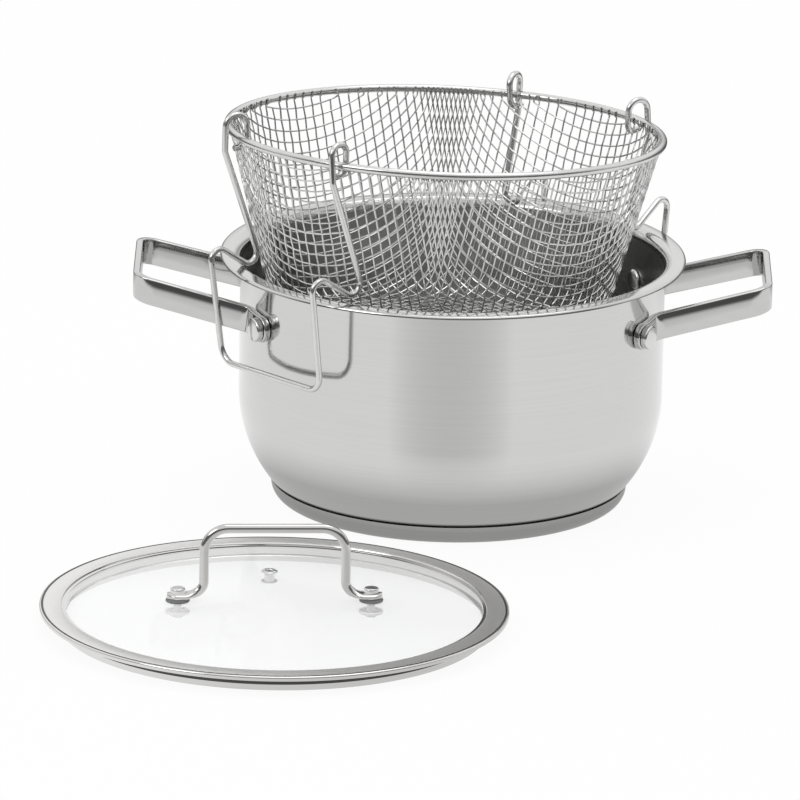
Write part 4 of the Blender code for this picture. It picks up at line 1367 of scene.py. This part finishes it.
class FRYER_OT_lid_fixings(bpy.types.Operator):
    """Turn the screws, grommets, washers and the vent's eyelet."""

    bl_idname = "fryer.lid_fixings"
    bl_label = "Lid Fixings"

    def execute(self, context):
        lid = settings().lid
        top = glass_top(lid.screw_half_span)
        slope_gap = TOUCH_GAP + lid.grommet_radius * lid.glass_rise / glass_radius()
        play = lid.shank_radius + TOUCH_GAP
        washer_top = top - lid.glass - slope_gap
        washer_low = washer_top - lid.grommet_thickness
        seal = ring_section(play, lid.grommet_radius, top + slope_gap,
                            top + TOUCH_GAP + lid.grommet_thickness)
        washer = ring_section(play, lid.grommet_radius, washer_low, washer_top)
        screw = self.screw_section(washer_low - TOUCH_GAP)
        for side, x in (("left", -lid.screw_half_span), ("right", lid.screw_half_span)):
            for name, section, finish, slot, node, closed in (
                    ("lid_seal_", seal, "Grey silicone", "grommet", "lid_grommet_", True),
                    ("lid_disc_", washer, "Washer steel", "rivet_steel", "lid_washer_", True),
                    ("lid_button_", screw, "Rivet steel", "rivet_steel", "lid_screw_", False)):
                piece = turned_piece(name + side, section, finish, closed, SMALL_STEPS)
                settle(piece, lid_place() @ Matrix.Translation((x, 0, 0)))
                mount_piece(piece, "lid", slot, node + side)
        self.vent()
        return {"FINISHED"}

    def screw_section(self, tail):
        """The screw from its lower end, which starts below the washer, to its head."""
        lid = settings().lid
        seat = lug_height() + lid.lug_thickness / 2 + TOUCH_GAP
        crown = seat + lid.head_height
        points = [(0, tail - lid.tail_height),
                  (lid.tail_radius * TAIL_TIP, tail - lid.tail_height),
                  (lid.tail_radius, tail - lid.tail_height * TAIL_SIDE), (lid.tail_radius, tail),
                  (lid.shank_radius, tail), (lid.shank_radius, seat), (lid.head_radius, seat)]
        points += arc((lid.head_radius - SCREW_EDGE, crown - SCREW_EDGE), SCREW_EDGE, 0,
                      math.radians(80), 4)
        return points + [(lid.head_radius * CROWN_SHARE, crown - SCREW_CROWN), (0, crown)]

    def vent(self):
        """The eyelet: a tube through the glass with a flange on each side."""
        lid = settings().lid
        top = glass_top(lid.vent_distance)
        bottom = top - lid.glass
        gap = TOUCH_GAP + lid.vent_radius * lid.glass_rise / glass_radius()
        half = lid.vent_height / 2
        section = [(lid.vent_bore, bottom - gap - lid.vent_height),
                   (lid.vent_radius, bottom - gap - half), (lid.vent_radius, bottom - gap),
                   (lid.vent_tube, bottom - gap), (lid.vent_tube, top + gap),
                   (lid.vent_radius, top + gap), (lid.vent_radius, top + gap + half),
                   (lid.vent_radius * EYELET_TOP, top + gap + lid.vent_height),
                   (lid.vent_bore * EYELET_MOUTH, top + gap + lid.vent_height),
                   (lid.vent_bore, top + gap + half)]
        eyelet = turned_piece("vent_ring", section, "Rivet steel", True, SMALL_STEPS)
        settle(eyelet, lid_place() @ Matrix.Translation((0, lid.vent_distance, 0)))
        mount_piece(eyelet, "lid", "rivet_steel", "vent_eyelet")


# The stage

def looks_from(finish, *rays):
    """1 for the named kinds of ray, and 0 for all others."""
    path = finish.node("ShaderNodeLightPath").socket.node.outputs
    return finish.clamped(sum(Sum(finish, path["Is " + ray + " Ray"]) for ray in rays))


class FRYER_OT_stage(bpy.types.Operator):
    """Lay the pale floor, hang the soft lights and set up the camera."""

    bl_idname = "fryer.stage"
    bl_label = "Stage"

    def execute(self, context):
        self.floor()
        self.sky(context.scene)
        self.lamps()
        self.camera(context.scene)
        return {"FINISHED"}

    def dusk(self, finish, x, y):
        """Shade painted on the floor and seen in the steel alone: far off, the pot's shadow by
        the pot, and in front.
        """
        studio = settings().studio
        behind = finish.clamped((y - studio.dusk_start) * (1 / studio.dusk_run))
        away = (x * x + y * y) ** 0.5
        near_run = studio.near_reach - GLOOM_POT_RADIUS
        near = finish.clamped((studio.near_reach - away) * (1 / near_run))
        round_pot = x / (-2 * y - GLOOM_POT_RADIUS) * (1 / studio.front_width)
        front = (finish.clamped(1 - round_pot * round_pot)
                 * finish.clamped((FRONT_START - y) * (1 / FRONT_RUN)))
        far = finish.clamped((studio.far_start - y) * (1 / studio.dusk_run))
        return finish.clamped(behind + far + near ** 3 * studio.near_painted_shadow
                              + front * studio.front_painted_shade)

    def floor(self):
        """A pale floor that shows white to the camera and catches the shadows.

        Steel and glass see it as pure glow, with painted shade, the gloom, that gives the steel
        its depth.
        """
        studio = settings().studio
        floor = start_piece("stage_floor", bpy.ops.mesh.primitive_plane_add,
                            size=studio.floor_size, location=(0, 0, 0))
        bpy.ops.mesh.select_all(action="SELECT")
        bpy.ops.mesh.subdivide(number_cuts=3)
        to_object_mode()
        finish = Finish(bpy.data.materials.new("Pale floor"))
        x, y, z = finish.place()
        paper = finish.noise(x, y, z, scale=3.0, detail=2.0)
        eye = looks_from(finish, "Camera")
        mirror = looks_from(finish, "Glossy", "Transmission")
        dusk = self.dusk(finish, x, y)
        finish.surface({
            "Base Color": finish.tones(paper, studio.floor_colour, 0.995, 1.0),
            "Roughness": 0.9,
            "Specular IOR Level": 0.1,
        })
        # Where the painted shade lies, steel and glass see the glow darkened towards this
        # colour.
        dark = (*studio.painted_shade_colour, 1.0)
        glow = finish.node("ShaderNodeEmission", inputs={
            "Color": finish.blend(dusk * (1 - eye), WHITE, dark), "Strength": 1.0})
        shader = finish.tree.nodes["Principled BSDF"].outputs[0]
        white = finish.clamped(eye * studio.floor_glow + mirror)
        mixed = finish.node("ShaderNodeMixShader", inputs={
            0: white, 1: Sum(finish, shader), 2: glow})
        finish.feed(finish.tree.nodes["Material Output"].inputs["Surface"], mixed)
        floor.data.materials.append(finish.owner)

    def sky(self, scene):
        """A white dome, darker near the ground, most of all behind the camera."""
        scene.world = bpy.data.worlds.new("Studio")
        finish = Finish(scene.world)
        studio = settings().studio
        way = finish.node("ShaderNodeTexCoord", output="Generated")
        outputs = finish.node("ShaderNodeSeparateXYZ", inputs={0: way}).socket.node.outputs
        y, up = Sum(finish, outputs[1]), Sum(finish, outputs[2])
        camera_side = finish.ramp(up, [(0.0, studio.room_dark),
                                       (CAMERA_SIDE_DARK, studio.room_dark),
                                       (CAMERA_SIDE_LIGHT, studio.room_light)])
        pot_side = finish.ramp(up, [(0.0, studio.room_dusk), (POT_SIDE_DARK, studio.room_dusk),
                                    (POT_SIDE_LIGHT, studio.room_light)])
        finish.feed(finish.tree.nodes["Background"].inputs["Color"],
                    finish.blend(finish.clamped(y * SIDE_CHANGE + 0.5), camera_side, pot_side))
        lookers = looks_from(finish, "Camera", "Glossy", "Transmission")
        finish.feed(finish.tree.nodes["Background"].inputs["Strength"],
                    studio.sky + lookers * (1 - studio.sky))
        scene.view_settings.view_transform = "Standard"

    def lamps(self):
        """Two large soft lamps, one from the left front and one from above."""
        for name, spot, size, power in LAMPS:
            bpy.ops.object.select_all(action="DESELECT")
            bpy.ops.object.light_add(type="AREA", location=spot)
            lamp = bpy.context.object
            lamp.name = name
            lamp.data.shape = "DISK"
            lamp.data.size = size
            lamp.data.energy = power
            aim = Vector(LAMP_AIM) - Vector(spot)
            lamp.rotation_euler = aim.to_track_quat("-Z", "Y").to_euler()

    def camera(self, scene):
        """A long lens, far off, that looks down on the pot."""
        studio = settings().studio
        forward = Vector((0, math.cos(studio.pitch), -math.sin(studio.pitch)))
        level = Vector((1, 0, 0))
        upright = level.cross(forward)
        right = level * math.cos(studio.roll) + upright * math.sin(studio.roll)
        up = upright * math.cos(studio.roll) - level * math.sin(studio.roll)
        axes = Matrix((right, up, -forward)).transposed().to_4x4()
        spot = (studio.camera_x, -studio.distance, studio.camera_height)
        bpy.ops.object.select_all(action="DESELECT")
        bpy.ops.object.camera_add()
        camera = bpy.context.object
        camera.matrix_world = Matrix.Translation(spot) @ axes
        camera.data.lens = studio.lens
        camera.data.sensor_width = SENSOR_WIDTH
        camera.data.clip_start, camera.data.clip_end = VIEW_START, VIEW_END
        scene.camera = camera


OPERATORS = (FRYER_OT_bowl, FRYER_OT_handles, FRYER_OT_basket, FRYER_OT_bails,
             FRYER_OT_lid_pane, FRYER_OT_lid_handle, FRYER_OT_lid_fixings, FRYER_OT_stage)


class FRYER_PT_panel(bpy.types.Panel):
    """Buttons for the pieces of the fryer pot."""

    bl_label = "Fryer Pot"
    bl_idname = "FRYER_PT_panel"
    bl_space_type = "VIEW_3D"
    bl_region_type = "UI"
    bl_category = "Fryer Pot"

    def draw(self, context):
        for operator in OPERATORS:
            self.layout.operator(operator.bl_idname)


GROUPS = (PotSizes, HandleSizes, BasketSizes, BailSizes, LidSizes, FinishLooks, StudioLooks,
          FryerPot)


def register():
    for item in GROUPS + OPERATORS + (FRYER_PT_panel,):
        bpy.utils.register_class(item)
    bpy.types.Scene.fryer_pot = PointerProperty(type=FryerPot)


def unregister():
    del bpy.types.Scene.fryer_pot
    for item in reversed(GROUPS + OPERATORS + (FRYER_PT_panel,)):
        bpy.utils.unregister_class(item)


def main():
    register()
    bpy.ops.fryer.bowl()
    bpy.ops.fryer.handles()
    bpy.ops.fryer.basket()
    bpy.ops.fryer.bails()
    bpy.ops.fryer.lid_pane()
    bpy.ops.fryer.lid_handle()
    bpy.ops.fryer.lid_fixings()
    bpy.ops.fryer.stage()


if __name__ == "__main__":
    main()
